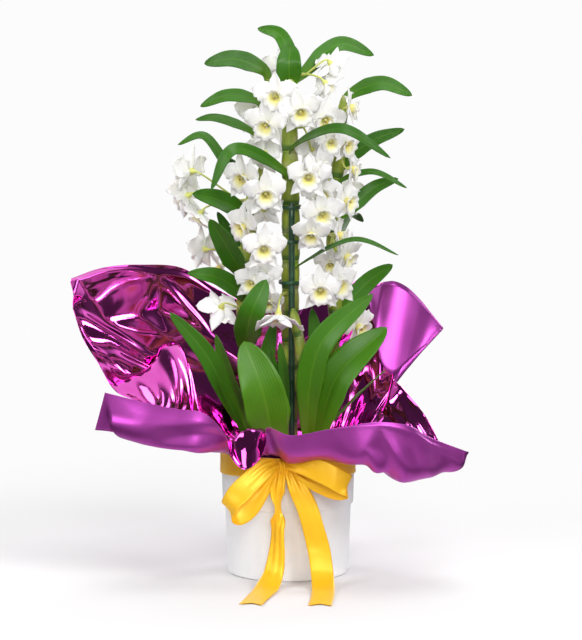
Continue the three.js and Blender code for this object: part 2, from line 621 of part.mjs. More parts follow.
// A bloom faces -Y before it is turned. Its three sepals and two broader petals go by the angle from
// +X. sides are the points of a half outline, as shares of the length and of the width.
const SEPAL = { length: 26, width: 14, sides: [[0.52, 0.5]] };
const PETAL = { length: 26, width: 21, sides: [[0.36, 0.42], [0.74, 0.46]] };
const TEPALS = [
  { angle: -128, ...SEPAL },
  { angle: -52, ...SEPAL },
  { angle: 22, ...PETAL },
  { angle: 90, ...SEPAL },
  { angle: 158, ...PETAL },
];
const SINUS_RADIUS = 4;
const SPUR = 7;
const LIP = { throat: 3.4, depth: 14, mouth: 10.5, wave: 0.9, wall: 0.9, lean: 22 };

/**
 * A bloom as one closed solid: a star of five tepals, its back drawn out into the short spur and its
 * middle into the lip, a trumpet that leans down and opens into a waved mouth.
 */
function bloomSolid(open) {
  const rise = Math.tan(degrees(90 * (1 - open))); // how far the tepals reach forward
  const ahead = ({ length }, share) => rise * length * share * share - 3 * Math.max(0, share - 0.6);
  const spot = (angle, out, aside, forward) => {
    const [c, s] = [Math.cos(degrees(angle)), Math.sin(degrees(angle))];
    return new THREE.Vector3(out * c - aside * s, -forward, out * s + aside * c);
  };
  const lean = new THREE.Euler(degrees(LIP.lean), 0, 0);
  const lipSpot = (angle, out, forward) => spot(angle, out, 0, forward).applyEuler(lean);
  const sinusOf = (k) => {
    const [here, next] = [TEPALS[k].angle, TEPALS[(k + 1) % TEPALS.length].angle];
    return here + ((next - here + 360) % 360) / 2;
  };
  const points = [];
  const add = (point) => points.push(point) - 1;
  const spur = add(spot(0, 0, 0, -SPUR));
  const floor = add(lipSpot(0, 0, 3));
  const parts = TEPALS.map((tepal, k) => {
    const { angle, length, width, sides } = tepal;
    const beside = (way) => ([along, out]) =>
      add(spot(angle, along * length, way * out * width, ahead(tepal, along) + 0.7));
    return {
      front: add(spot(angle, 0.5 * length, 0, ahead(tepal, 0.5) + TEPAL_THICKNESS / 2)),
      back: add(spot(angle, 0.5 * length, 0, ahead(tepal, 0.5) - TEPAL_THICKNESS / 2)),
      edge: [
        ...sides.map(beside(-1)),
        add(spot(angle, length, 0, ahead(tepal, 1))),
        ...sides.map(beside(1)).reverse(),
      ],
      sinus: add(spot(sinusOf(k), SINUS_RADIUS, 0, 0)),
      collar: add(spot(sinusOf(k), LIP.throat, 0, 1)),
      mouth: add(lipSpot(sinusOf(k), LIP.mouth + LIP.wave, LIP.depth)),
      dip: add(lipSpot(angle, LIP.mouth - LIP.wave, LIP.depth - LIP.wave)),
      throat: add(lipSpot(sinusOf(k), LIP.throat - LIP.wall, 5)),
    };
  });
  const faces = [];
  parts.forEach(({ front, back, edge, sinus, collar, mouth, dip, throat }, k) => {
    const before = parts[(k + parts.length - 1) % parts.length];
    const outline = [before.sinus, ...edge, sinus];
    for (let i = 0; i + 1 < outline.length; i++) {
      faces.push([front, outline[i], outline[i + 1]], [back, outline[i + 1], outline[i]]);
    }
    faces.push([back, before.sinus, spur], [back, spur, sinus]);
    faces.push([front, before.collar, before.sinus], [front, sinus, collar]);
    faces.push([front, collar, before.collar]);
    faces.push([before.collar, collar, dip], [before.collar, dip, before.mouth], [collar, mouth, dip]);
    faces.push([before.throat, dip, throat], [before.throat, before.mouth, dip], [throat, dip, mouth]);
    faces.push([floor, before.throat, throat]);
  });
  return solidOf(points, faces);
}

/** One bloom in place, as { at, yaw, pitch, roll, size, open }. */
function bloom({ at, yaw, pitch = 0, roll = 0, size = 1, open = 0.92 }) {
  const turn = new THREE.Euler(degrees(-pitch), degrees(roll), degrees(yaw), "ZXY");
  const place = new THREE.Matrix4().makeRotationFromEuler(turn);
  place.scale(vec([size, size, size])).setPosition(...at);
  return { solid: bloomSolid(open).transform(place.elements), place };
}

/** A spray: a short stalk off a cane at a height, with a thin pedicel to the back of each bloom. */
function spray({ cane, z, blooms }) {
  const placed = blooms.map(bloom);
  const sum = blooms.reduce((total, { at }) => total.add(vec(at)), new THREE.Vector3());
  const middle = sum.divideScalar(blooms.length);
  const axis = axisAt(CANES[cane], z);
  const out = middle.clone().sub(axis).setZ(0).normalize();
  const root = axis.clone().addScaledVector(out, CANES[cane].radius + ROOT_GAP);
  const fork = root.clone().addScaledVector(out, STALK_LENGTH);
  const stalkEnd = fork.clone().addScaledVector(out, 2);
  const stalk = tube(new THREE.LineCurve3(root, stalkEnd), 1, 5, () => STALK_RADIUS);
  const pedicels = placed.map(({ place }) => {
    const end = new THREE.Vector3(0, 3, 0).applyMatrix4(place);
    const behind = new THREE.Vector3(0, 14, 0).applyMatrix4(place);
    const onward = fork.clone().addScaledVector(out, 5);
    return tube(new THREE.CubicBezierCurve3(fork, onward, behind, end), 2, 3, () => PEDICEL_RADIUS);
  });
  return joined([stalk, ...pedicels, ...placed.map(({ solid }) => solid)]);
}

const SPRAYS = {
  spray_01: {
    cane: "cane_centre", z: 540,
    blooms: [
      { at: [45, -16, 553], yaw: 145, pitch: -35, size: 0.9 },
      { at: [40, -24, 532], yaw: 125, pitch: -40, size: 0.9 },
    ],
  },
  spray_02: { cane: "cane_centre", z: 536, blooms: [{ at: [-7, 24, 549], yaw: 185, size: 0.9 }] },
  spray_03: {
    cane: "cane_centre", z: 512,
    blooms: [
      { at: [-13, -50, 519], yaw: -10 },
      { at: [12, -54, 503], yaw: 10, pitch: -10 },
      { at: [-22, -50, 489], yaw: -20, pitch: -10 },
    ],
  },
  spray_04: {
    cane: "cane_centre", z: 484,
    blooms: [
      { at: [38, -30, 493], yaw: 25 },
      { at: [26, -22, 461], yaw: 170, size: 0.8 },
    ],
  },
  spray_05: {
    cane: "cane_right", z: 476,
    blooms: [
      { at: [65, -22, 506], yaw: 80, pitch: 10, size: 0.9 },
      { at: [44, -39, 470], yaw: 20, size: 0.85 },
      { at: [60, -26, 467], yaw: 50, size: 0.9 },
      { at: [67, -20, 441], yaw: 75, size: 0.85 },
    ],
  },
  spray_06: {
    cane: "cane_centre", z: 440,
    blooms: [
      { at: [33, -57, 445], yaw: 35, size: 0.8 },
      { at: [21, -62, 434], yaw: 5 },
    ],
  },
  spray_07: { cane: "cane_left", z: 462, blooms: [{ at: [-26, -26, 457], yaw: -150 }] },
  spray_08: {
    cane: "cane_left", z: 430,
    blooms: [
      { at: [-47, -50, 433], yaw: -35, pitch: -5 },
      { at: [-24, -58, 417], yaw: 5, pitch: -10 },
      { at: [-26, -22, 397], yaw: 170, size: 0.85 },
    ],
  },
  spray_09: {
    cane: "cane_left", z: 404,
    blooms: [
      { at: [-103, -20, 438], yaw: -130, pitch: 5, size: 1.1 },
      { at: [-108, -6, 411], yaw: -130, pitch: -25, size: 1.1 },
      { at: [-94, -22, 393], yaw: -100, pitch: -50 },
    ],
  },
  spray_10: {
    cane: "cane_left", z: 372,
    blooms: [
      { at: [-46, -47, 381], yaw: -50, pitch: -5 },
      { at: [-26, -62, 359], yaw: 5, pitch: -5 },
    ],
  },
  spray_11: {
    cane: "cane_left", z: 352,
    blooms: [
      { at: [-90, -6, 353], yaw: -125 },
      { at: [-72, 2, 334], yaw: -75, pitch: -30 },
    ],
  },
  spray_12: {
    cane: "cane_right", z: 408,
    blooms: [
      { at: [35, -43, 415], yaw: 10 },
      { at: [35, -50, 395], yaw: 15, pitch: -10 },
      { at: [61, -25, 407], yaw: 60 },
    ],
  },
  spray_13: {
    cane: "cane_right", z: 366,
    blooms: [
      { at: [25, -58, 374], yaw: -10, pitch: -25, size: 0.9 },
      { at: [52, -30, 371], yaw: 80 },
      { at: [61, -22, 348], yaw: 60, pitch: -20 },
      { at: [45, -22, 340], yaw: 5, pitch: -20, size: 0.8 },
    ],
  },
  spray_14: {
    cane: "cane_left", z: 286,
    blooms: [
      { at: [-71, -38, 294], yaw: -155, pitch: -35, open: 0.74 },
      { at: [-38, -26, 319], yaw: -20, size: 0.85 },
      { at: [-26, -22, 327], yaw: -10, size: 0.85 },
    ],
  },
  spray_15: {
    cane: "cane_centre", z: 306,
    blooms: [
      { at: [-10, -58, 288], yaw: -3, pitch: -80, roll: 180, size: 1.1, open: 0.66 },
      { at: [-20, -22, 298], yaw: -20, pitch: -20, size: 0.75 },
    ],
  },
  spray_16: {
    cane: "cane_right", z: 316,
    blooms: [
      { at: [34, -55, 314], yaw: 5, pitch: -5 },
      { at: [53, -35, 318], yaw: 30 },
    ],
  },
  spray_17: { cane: "cane_right", z: 274, blooms: [{ at: [74, -17, 271], yaw: 52, pitch: -12, size: 1.1 }] },
  spray_18: {
    cane: "cane_left", z: 500,
    blooms: [
      { at: [-34, 46, 500], yaw: 200 },
      { at: [-20, 46, 474], yaw: 170, pitch: -10 },
    ],
  },
  spray_19: {
    cane: "cane_right", z: 420,
    blooms: [
      { at: [40, 48, 430], yaw: 175 },
      { at: [62, 46, 408], yaw: 150, pitch: -10 },
    ],
  },
};

// ---------------------------------------------------------------- the object

const group = new THREE.Group();

function addPart(name, solid, look) {
  const material = new THREE.MeshStandardMaterial({ ...look, flatShading: true });
  const mesh = new THREE.Mesh(geometryOf(solid), material);
  mesh.name = name;
  group.add(mesh);
}

const stems = { ...CANES, ...SHOOTS };
const stemHoles = Object.values(stems).map(({ route: [[x, y, foot]], radius }) => ({ x, y, radius, foot }));
const stakeHole = { x: STAKE_FOOT[0], y: STAKE_FOOT[1], radius: STAKE_RADIUS, foot: STAKE_FOOT[2] };

addPart("cover_pot", coverPot(), COLOURS.pot);
addPart("grow_pot", growPot(), COLOURS.growPot);
addPart("bark", bark([...stemHoles, stakeHole]), COLOURS.bark);
addPart("film_wrap", filmWrap(), COLOURS.film);
addPart("ribbon", ribbon(), COLOURS.ribbon);
addPart("plant_stake", plantStake(), COLOURS.stake);
[399, 362, 318].forEach((z, i) => addPart(`tie_${i + 1}`, tie(z), COLOURS.stake));
for (const [name, stem] of Object.entries(stems)) addPart(name, leafyStem(stem), COLOURS.leaf);
for (const [name, row] of Object.entries(SPRAYS)) addPart(name, spray(row), COLOURS.bloom);

export default group;
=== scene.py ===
import math

import bmesh
import bpy
import numpy as np
from mathutils import Euler, Matrix, Vector
from mathutils.geometry import delaunay_2d_cdt


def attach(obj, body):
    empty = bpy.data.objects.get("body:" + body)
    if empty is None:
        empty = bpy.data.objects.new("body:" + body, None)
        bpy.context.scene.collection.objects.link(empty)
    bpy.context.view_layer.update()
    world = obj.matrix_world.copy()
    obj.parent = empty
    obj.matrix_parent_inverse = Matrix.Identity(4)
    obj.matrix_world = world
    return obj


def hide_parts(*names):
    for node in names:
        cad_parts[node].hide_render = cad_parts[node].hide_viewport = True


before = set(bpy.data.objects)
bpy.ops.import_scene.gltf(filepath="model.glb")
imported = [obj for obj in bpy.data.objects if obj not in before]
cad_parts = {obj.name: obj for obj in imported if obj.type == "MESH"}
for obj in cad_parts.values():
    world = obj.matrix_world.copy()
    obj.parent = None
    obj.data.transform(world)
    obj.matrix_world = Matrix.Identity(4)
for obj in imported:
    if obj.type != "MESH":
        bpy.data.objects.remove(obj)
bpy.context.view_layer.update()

# ---------------------------------------------------------------- studio
# A camera at the top blooms' height that looks a little down through a long lens, a round white table
# top, and soft boxes in a dark room, so that the metal film has something to reflect. Only the camera
# sees the room and the far table all white.
CAMERA_PLACE = (0.0, -2.6, 0.549)
CAMERA_DIP = math.radians(6.01)
CAMERA_LENS = 135.4
CAMERA_SHIFT = 0.0047
PLANT_MIDDLE = Vector((0, 0, 0.3))
SOFT_BOXES = [  # name, place and side in metres, watts
    ("key_light", (1.5, -1.6, 1.7), 0.9, 37),
    ("fill_light", (-1.7, -1.4, 1.3), 0.9, 22),
    ("top_light", (0.1, -0.2, 2.3), 1.2, 19),
    ("front_light", (0.2, -2.9, 1.3), 1.0, 40),
    ("back_light_left", (-1.5, 1.5, 1.4), 0.8, 16),
    ("back_light_right", (1.5, 1.5, 1.4), 0.8, 16),
]
PAPER_WHITE = (0.974, 0.974, 0.974, 1)
TABLE_RADIUS = 3.2
TABLE_SIDES = 96
TABLE_UNDER = 0.0003  # how far the table top lies under the pot's foot
bpy.ops.object.select_all(action="DESELECT")
bpy.context.scene.view_settings.view_transform = "Standard"
bpy.ops.object.camera_add(location=CAMERA_PLACE, rotation=(math.pi / 2 - CAMERA_DIP, 0, 0))
camera = bpy.context.object
camera.name = "camera"
camera.data.lens = CAMERA_LENS
camera.data.shift_x = CAMERA_SHIFT
bpy.context.scene.camera = camera
for name, place, side, watts in SOFT_BOXES:
    bpy.ops.object.light_add(type="AREA", location=place)
    lamp = bpy.context.object
    lamp.name = name
    lamp.rotation_euler = (PLANT_MIDDLE - Vector(place)).to_track_quat("-Z", "Y").to_euler()
    lamp.data.size = side
    lamp.data.energy = watts


def add_node(tree, kind, inputs=None, **settings):
    """A node of a tree, with its settings and the values of its unlinked inputs."""
    made = tree.nodes.new(kind)
    for name, value in settings.items():
        setattr(made, name, value)
    for name, value in (inputs or {}).items():
        made.inputs[name].default_value = value
    return made


def wire(output, socket):
    """A link from an output to an input of the same tree."""
    socket.id_data.links.new(output, socket)


def ramp(factor, stops):
    """A colour ramp on a factor, with stops of (place, colour)."""
    made = add_node(factor.id_data, "ShaderNodeValToRGB")
    band = made.color_ramp
    while len(band.elements) < len(stops):
        band.elements.new(0.5)
    for element, (place, colour) in zip(band.elements, stops):
        element.position = place
        element.color = (*colour, 1)
    wire(factor, made.inputs["Fac"])
    return made.outputs["Color"]


def shader_mix(factor, first, second):
    """Two shaders mixed by a factor."""
    made = add_node(factor.id_data, "ShaderNodeMixShader")
    for socket, source in zip(made.inputs, (factor, first, second)):
        wire(source, socket)
    return made.outputs["Shader"]


world = bpy.context.scene.world or bpy.data.worlds.new("dark_room")
bpy.context.scene.world = world
world.use_nodes = True
room = world.node_tree
room.nodes.clear()
room_way = add_node(room, "ShaderNodeTexCoord")
room_side = add_node(room, "ShaderNodeSeparateXYZ")
wire(room_way.outputs["Generated"], room_side.inputs["Vector"])
room_both = add_node(room, "ShaderNodeMix", {"Factor": 1}, data_type="RGBA", blend_type="LIGHTEN")
wire(ramp(room_side.outputs["Y"], [
    (0.0, (0.05, 0.05, 0.052)), (0.25, (0.09, 0.09, 0.095)), (0.5, (0.95, 0.95, 0.95))]),
    room_both.inputs[6])
wire(ramp(room_side.outputs["Z"], [(0.06, (0.5, 0.5, 0.5)), (0.2, (0, 0, 0))]), room_both.inputs[7])
dark_room = add_node(room, "ShaderNodeBackground")
wire(room_both.outputs[2], dark_room.inputs["Color"])
white_room = add_node(room, "ShaderNodeBackground", {"Color": PAPER_WHITE})
room_seen = add_node(room, "ShaderNodeLightPath").outputs["Is Camera Ray"]
room_out = add_node(room, "ShaderNodeOutputWorld")
wire(shader_mix(room_seen, dark_room.outputs["Background"], white_room.outputs["Background"]),
     room_out.inputs["Surface"])


def new_material(name, **sockets):
    """A Principled material: its tree, its shader and itself. Constant values sit on its sockets."""
    material = bpy.data.materials.new(name)
    material.use_nodes = True
    tree = material.node_tree
    shader = tree.nodes["Principled BSDF"]
    for socket, value in sockets.items():
        shader.inputs[socket.replace("_", " ")].default_value = value
    return tree, shader, material


def calculated(operation, *terms):
    """One step of arithmetic on sockets or numbers, of which one at least is a socket."""
    numbers = [isinstance(term, (int, float)) for term in terms]
    tree = terms[numbers.index(False)].id_data
    made = add_node(tree, "ShaderNodeMath", operation=operation)
    for socket, term, number in zip(made.inputs, terms, numbers):
        if number:
            socket.default_value = term
        else:
            wire(term, socket)
    return made.outputs["Value"]


# The table fades into the white room for the camera, from 0.3 m out. In the film's mirror it has a
# dark ring, between 0.2 and 1.4 m out.
bpy.ops.mesh.primitive_circle_add(
    vertices=TABLE_SIDES, radius=TABLE_RADIUS, fill_type="NGON", location=(0, 0, -TABLE_UNDER))
table_top = bpy.context.object
table_top.name = "table_top"
table_tree, table_shader, table_white = new_material(
    "white_table", Base_Color=(0.72, 0.72, 0.72, 1), Roughness=0.9, Specular_IOR_Level=0.1)
table_place = add_node(table_tree, "ShaderNodeTexCoord")
table_length = add_node(table_tree, "ShaderNodeVectorMath", operation="LENGTH")
wire(table_place.outputs["Object"], table_length.inputs[0])
table_far = table_length.outputs["Value"]
table_fade = add_node(table_tree, "ShaderNodeMapRange", {"From Min": 0.3, "From Max": 0.9},
                      interpolation_type="SMOOTHSTEP")
wire(table_far, table_fade.inputs["Value"])
table_ring = ramp(calculated("MULTIPLY", table_far, 0.5), [
    (0.1, (0, 0, 0)), (0.22, (1, 1, 1)), (0.5, (1, 1, 1)), (0.7, (0, 0, 0))])
table_seen = add_node(table_tree, "ShaderNodeLightPath").outputs["Is Camera Ray"]
table_mirrored = calculated("SUBTRACT", 1.0, table_seen)
table_dark = add_node(table_tree, "ShaderNodeBsdfDiffuse", {"Color": (0.04, 0.04, 0.04, 1)})
table_glow = add_node(table_tree, "ShaderNodeEmission", {"Color": PAPER_WHITE})
table_ringed = shader_mix(calculated("MULTIPLY", table_ring, table_mirrored),
                          table_shader.outputs["BSDF"], table_dark.outputs["BSDF"])
table_faded = shader_mix(calculated("MULTIPLY", table_fade.outputs["Result"], table_seen),
                         table_ringed, table_glow.outputs["Emission"])
wire(table_faded, table_tree.nodes["Material Output"].inputs["Surface"])
table_top.data.materials.append(table_white)

# ---------------------------------------------------------------- cover pot
# A thin-walled cup of white satin plastic, moulded in one piece, with a deep collar that stands out
# over the waist by a soft step and a small rolled edge at the mouth and the foot.
MM = 0.001
POT_HEIGHT = 135 * MM
COLLAR_Z = 76 * MM
POT_FLOOR = 5 * MM
WALL = 2.2 * MM
FOOT_RADIUS = 66.3 * MM
WAIST_RADIUS = 68.6 * MM
COLLAR_RADIUS = 71.3 * MM
RIM_RADIUS = 73 * MM
COVER_POT_PROFILE = [
    (FOOT_RADIUS - 1.5 * MM, 0),
    (FOOT_RADIUS - 0.5 * MM, 0.5 * MM),
    (FOOT_RADIUS, 1.6 * MM),
    (WAIST_RADIUS, COLLAR_Z - 0.8 * MM),
    (WAIST_RADIUS + 0.6 * MM, COLLAR_Z - 0.1 * MM),
    (COLLAR_RADIUS - 0.6 * MM, COLLAR_Z + 0.1 * MM),
    (COLLAR_RADIUS, COLLAR_Z + 0.9 * MM),
    (RIM_RADIUS, POT_HEIGHT - 0.8 * MM),
    (RIM_RADIUS - 0.4 * MM, POT_HEIGHT - 0.15 * MM),
    (RIM_RADIUS - 1.1 * MM, POT_HEIGHT),
    (RIM_RADIUS - 1.8 * MM, POT_HEIGHT - 0.15 * MM),
    (RIM_RADIUS - WALL, POT_HEIGHT - 0.8 * MM),
    (COLLAR_RADIUS - WALL, COLLAR_Z + 2.2 * MM),
    (WAIST_RADIUS - WALL, COLLAR_Z),
    (FOOT_RADIUS - WALL, POT_FLOOR + 1.5 * MM),
    (FOOT_RADIUS - WALL - 1.5 * MM, POT_FLOOR),
]
SMOOTH_ROUND = 128  # sides of what is turned
SHARP_EDGE = math.radians(50)  # from this turn on, two faces meet in a crisp edge


def turned_cup(name, profile, sides):
    """A cup raised from a filled disc: each stage of the profile is an extrusion and a resize."""
    radius, height = profile[0]
    bpy.ops.object.select_all(action="DESELECT")
    bpy.ops.mesh.primitive_circle_add(
        vertices=sides, radius=radius, fill_type="NGON", location=(0, 0, height))
    cup = bpy.context.object
    cup.name = name
    bpy.ops.object.transform_apply(location=True)
    bpy.ops.object.mode_set(mode="EDIT")
    for next_radius, next_height in profile[1:]:
        bpy.ops.mesh.extrude_region_move(
            TRANSFORM_OT_translate={"value": (0, 0, next_height - height)})
        grow = next_radius / radius
        bpy.ops.transform.resize(value=(grow, grow, 1), center_override=(0, 0, 0))
        radius, height = next_radius, next_height
    bpy.ops.mesh.select_all(action="SELECT")
    bpy.ops.mesh.normals_make_consistent(inside=False)
    bpy.ops.object.mode_set(mode="OBJECT")
    bpy.ops.object.shade_smooth_by_angle(angle=SHARP_EDGE)
    return cup


def grain_group():
    """Fine grain that several finishes share: a mask from 0 to 1 and a height for a bump."""
    group = bpy.data.node_groups.new("fine_grain", "ShaderNodeTree")
    for name, way, kind in (("Scale", "INPUT", "Float"), ("Stretch", "INPUT", "Vector"),
                            ("Mask", "OUTPUT", "Float"), ("Height", "OUTPUT", "Float")):
        group.interface.new_socket(name, in_out=way, socket_type="NodeSocket" + kind)
    start = add_node(group, "NodeGroupInput")
    place = add_node(group, "ShaderNodeTexCoord")
    stretched = add_node(group, "ShaderNodeVectorMath", operation="MULTIPLY")
    broad = add_node(group, "ShaderNodeTexNoise", {"Detail": 3.0, "Roughness": 0.55})
    fine = add_node(group, "ShaderNodeTexNoise", {"Detail": 2.0})
    end = add_node(group, "NodeGroupOutput")
    wire(place.outputs["Object"], stretched.inputs[0])
    wire(start.outputs["Stretch"], stretched.inputs[1])
    for noise in (broad, fine):
        wire(stretched.outputs["Vector"], noise.inputs["Vector"])
    wire(start.outputs["Scale"], broad.inputs["Scale"])
    wire(calculated("MULTIPLY", start.outputs["Scale"], 9.0), fine.inputs["Scale"])
    wire(broad.outputs["Fac"], end.inputs["Mask"])
    wire(calculated("MULTIPLY_ADD", fine.outputs["Fac"], 0.25, broad.outputs["Fac"]), end.inputs["Height"])
    return group


FINE_GRAIN = grain_group()


def grain(tree, scale, stretch=(1, 1, 1)):
    """The shared grain in one material, with that material's own scale and stretch."""
    return add_node(tree, "ShaderNodeGroup", {"Scale": scale, "Stretch": stretch}, node_tree=FINE_GRAIN)


def bump(shader, height, distance):
    """A bump of a height in metres on a shader's normal."""
    made = add_node(height.id_data, "ShaderNodeBump", {"Strength": 1.0, "Distance": distance})
    wire(height, made.inputs["Height"])
    wire(made.outputs["Normal"], shader.inputs["Normal"])


def between(factor, low, high, ends=(0.3, 0.7)):
    """A value that runs from low to high as a factor runs from one of its ends to the other."""
    made = add_node(factor.id_data, "ShaderNodeMapRange", {
        "From Min": ends[0], "From Max": ends[1], "To Min": low, "To Max": high})
    wire(factor, made.inputs["Value"])
    return made.outputs["Result"]


def grained_finish(name, scale, colours, rough, depth, stretch=(1, 1, 1), **sockets):
    """A material that takes its colours, roughness and a relief of a depth from the shared grain."""
    tree, shader, material = new_material(name, **sockets)
    made = grain(tree, scale, stretch)
    wire(ramp(made.outputs["Mask"], colours), shader.inputs["Base Color"])
    if rough:
        wire(between(made.outputs["Mask"], *rough), shader.inputs["Roughness"])
    bump(shader, made.outputs["Height"], depth)
    return material


cover_pot = turned_cup("white_cover_pot", COVER_POT_PROFILE, SMOOTH_ROUND)
pot_white = grained_finish(
    "satin_white_plastic", 60, [(0.3, (0.86, 0.86, 0.865)), (0.7, (0.9, 0.9, 0.9))], (0.3, 0.38),
    0.03 * MM, Specular_IOR_Level=0.5)
cover_pot.data.materials.append(pot_white)
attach(cover_pot, "root")
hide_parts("cover_pot")

# ---------------------------------------------------------------- grower's pot
# The black thin-walled nursery pot that the plant grew in, with a rolled rim and four drain holes.
# It stands loose in the film, inside the cover pot.
GROW_BASE_Z = 8 * MM
GROW_TOP_Z = 120 * MM
GROW_BASE_RADIUS = 44 * MM
GROW_TOP_RADIUS = 59 * MM
GROW_WALL = 1.5 * MM
GROW_FLOOR = 2 * MM
DRAIN_RADIUS = 5 * MM
DRAIN_TURNS = (45, 135, 225, 315)
RIM_DEPTH = 6 * MM
GROW_POT_PROFILE = [
    (GROW_BASE_RADIUS - 1 * MM, GROW_BASE_Z),
    (GROW_BASE_RADIUS, GROW_BASE_Z + 1 * MM),
    (GROW_TOP_RADIUS, GROW_TOP_Z - RIM_DEPTH),
    (GROW_TOP_RADIUS + 1.6 * MM, GROW_TOP_Z - RIM_DEPTH),
    (GROW_TOP_RADIUS + 2 * MM, GROW_TOP_Z - RIM_DEPTH + 0.6 * MM),
    (GROW_TOP_RADIUS + 2 * MM, GROW_TOP_Z - 1 * MM),
    (GROW_TOP_RADIUS + 1.4 * MM, GROW_TOP_Z - 0.2 * MM),
    (GROW_TOP_RADIUS, GROW_TOP_Z),
    (GROW_TOP_RADIUS - GROW_WALL, GROW_TOP_Z - 1 * MM),
    (GROW_BASE_RADIUS - GROW_WALL, GROW_BASE_Z + GROW_FLOOR),
]
grow_pot = turned_cup("nursery_pot", GROW_POT_PROFILE, SMOOTH_ROUND)
for turn in map(math.radians, DRAIN_TURNS):
    out = GROW_BASE_RADIUS - 3 * DRAIN_RADIUS
    bpy.ops.mesh.primitive_cylinder_add(
        vertices=24, radius=DRAIN_RADIUS, depth=20 * MM,
        location=(out * math.cos(turn), out * math.sin(turn), GROW_BASE_Z))
    drain = bpy.context.object
    cut = grow_pot.modifiers.new("drain", "BOOLEAN")
    cut.operation = "DIFFERENCE"
    cut.solver = "EXACT"
    cut.object = drain
    bpy.context.view_layer.objects.active = grow_pot
    bpy.ops.object.modifier_apply(modifier=cut.name)
    bpy.data.objects.remove(drain)
nursery_black = grained_finish(
    "black_nursery_plastic", 90, [(0.3, (0.012, 0.013, 0.014)), (0.7, (0.03, 0.03, 0.03))],
    (0.45, 0.65), 0.1 * MM)
grow_pot.data.materials.append(nursery_black)
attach(grow_pot, "root")
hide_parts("grow_pot")

# ---------------------------------------------------------------- bark
# Coarse fir bark, the mix that such a plant is potted in: the imported body below, and loose chips of
# about a centimetre lying on it at all angles.
BARK_TOP_Z = 112 * MM
CHIP_COUNT = 170
CHIP_SPREAD = 52 * MM
CHIP_SIDES = [(7, 14), (5, 9), (2.5, 4.5)]  # from the least to the most, in mm
CHIP_BEVEL = 0.16  # of its side
CHIP_TILT = 0.35
CHIP_ROUGHNESS = 0.09
bark_brown = grained_finish(
    "fir_bark", 130, [(0.3, (0.045, 0.022, 0.012)), (0.5, (0.14, 0.07, 0.038)), (0.7, (0.27, 0.16, 0.09))],
    None, 0.8 * MM, (1, 1, 2.5), Roughness=0.9)
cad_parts["bark"].data.materials.clear()
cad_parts["bark"].data.materials.append(bark_brown)

chance = np.random.default_rng(11)
bpy.ops.object.select_all(action="DESELECT")
bpy.ops.mesh.primitive_cube_add(size=1, location=(0, 0, 0))
chip = bpy.context.object
bpy.ops.object.mode_set(mode="EDIT")
bpy.ops.mesh.bevel(offset=CHIP_BEVEL, segments=1)
bpy.ops.object.mode_set(mode="OBJECT")
chip_corners = np.array([vert.co for vert in chip.data.vertices])
chip_faces = [tuple(face.vertices) for face in chip.data.polygons]
bpy.data.objects.remove(chip)


def mesh_piece(name, points, faces):
    """An object of points and faces, in place, with the object itself at the origin."""
    mesh = bpy.data.meshes.new(name)
    mesh.from_pydata([tuple(point) for point in points], [], faces)
    mesh.update()
    made = bpy.data.objects.new(name, mesh)
    bpy.context.scene.collection.objects.link(made)
    return made


chip_points, all_chip_faces = [], []
for _ in range(CHIP_COUNT):
    turn, out = chance.uniform(0, 2 * math.pi), math.sqrt(chance.uniform(0, 1)) * CHIP_SPREAD
    size = np.array([chance.uniform(*ends) for ends in CHIP_SIDES]) * MM
    turns = (chance.normal(0, CHIP_TILT), chance.normal(0, CHIP_TILT), chance.uniform(0, 6.28))
    tilt = Euler(turns).to_matrix()
    rough = chip_corners * size * (1 + chance.normal(0, CHIP_ROUGHNESS, chip_corners.shape))
    lift = chance.uniform(-3, 1) * MM
    centre = np.array([out * math.cos(turn), out * math.sin(turn), BARK_TOP_Z + lift])
    start = len(chip_points)
    chip_points.extend(rough @ np.array(tilt).T + centre)
    all_chip_faces.extend(tuple(corner + start for corner in face) for face in chip_faces)
bark_chips = mesh_piece("bark_chips", chip_points, all_chip_faces)
bark_chips.data.materials.append(bark_brown)
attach(bark_chips, "root")

# ---------------------------------------------------------------- film wrap
# A square of metallised film of about 55 cm, mirror magenta on one face and satin purple on the other.
# It is folded up round the nursery pot, gathered at the rim and pulled out into four lobes, of which
# the right back one is folded over. A column is one line on it from the rim out to the cut edge.
FILM_THICKNESS = 0.3 * MM
FILM_CUP = [(0.5, 6.4), (24, 6.4), (48, 6.4), (54, 44), (59, 82), (64.5, 120), (67.6, 133.5), (71.8, 138)]
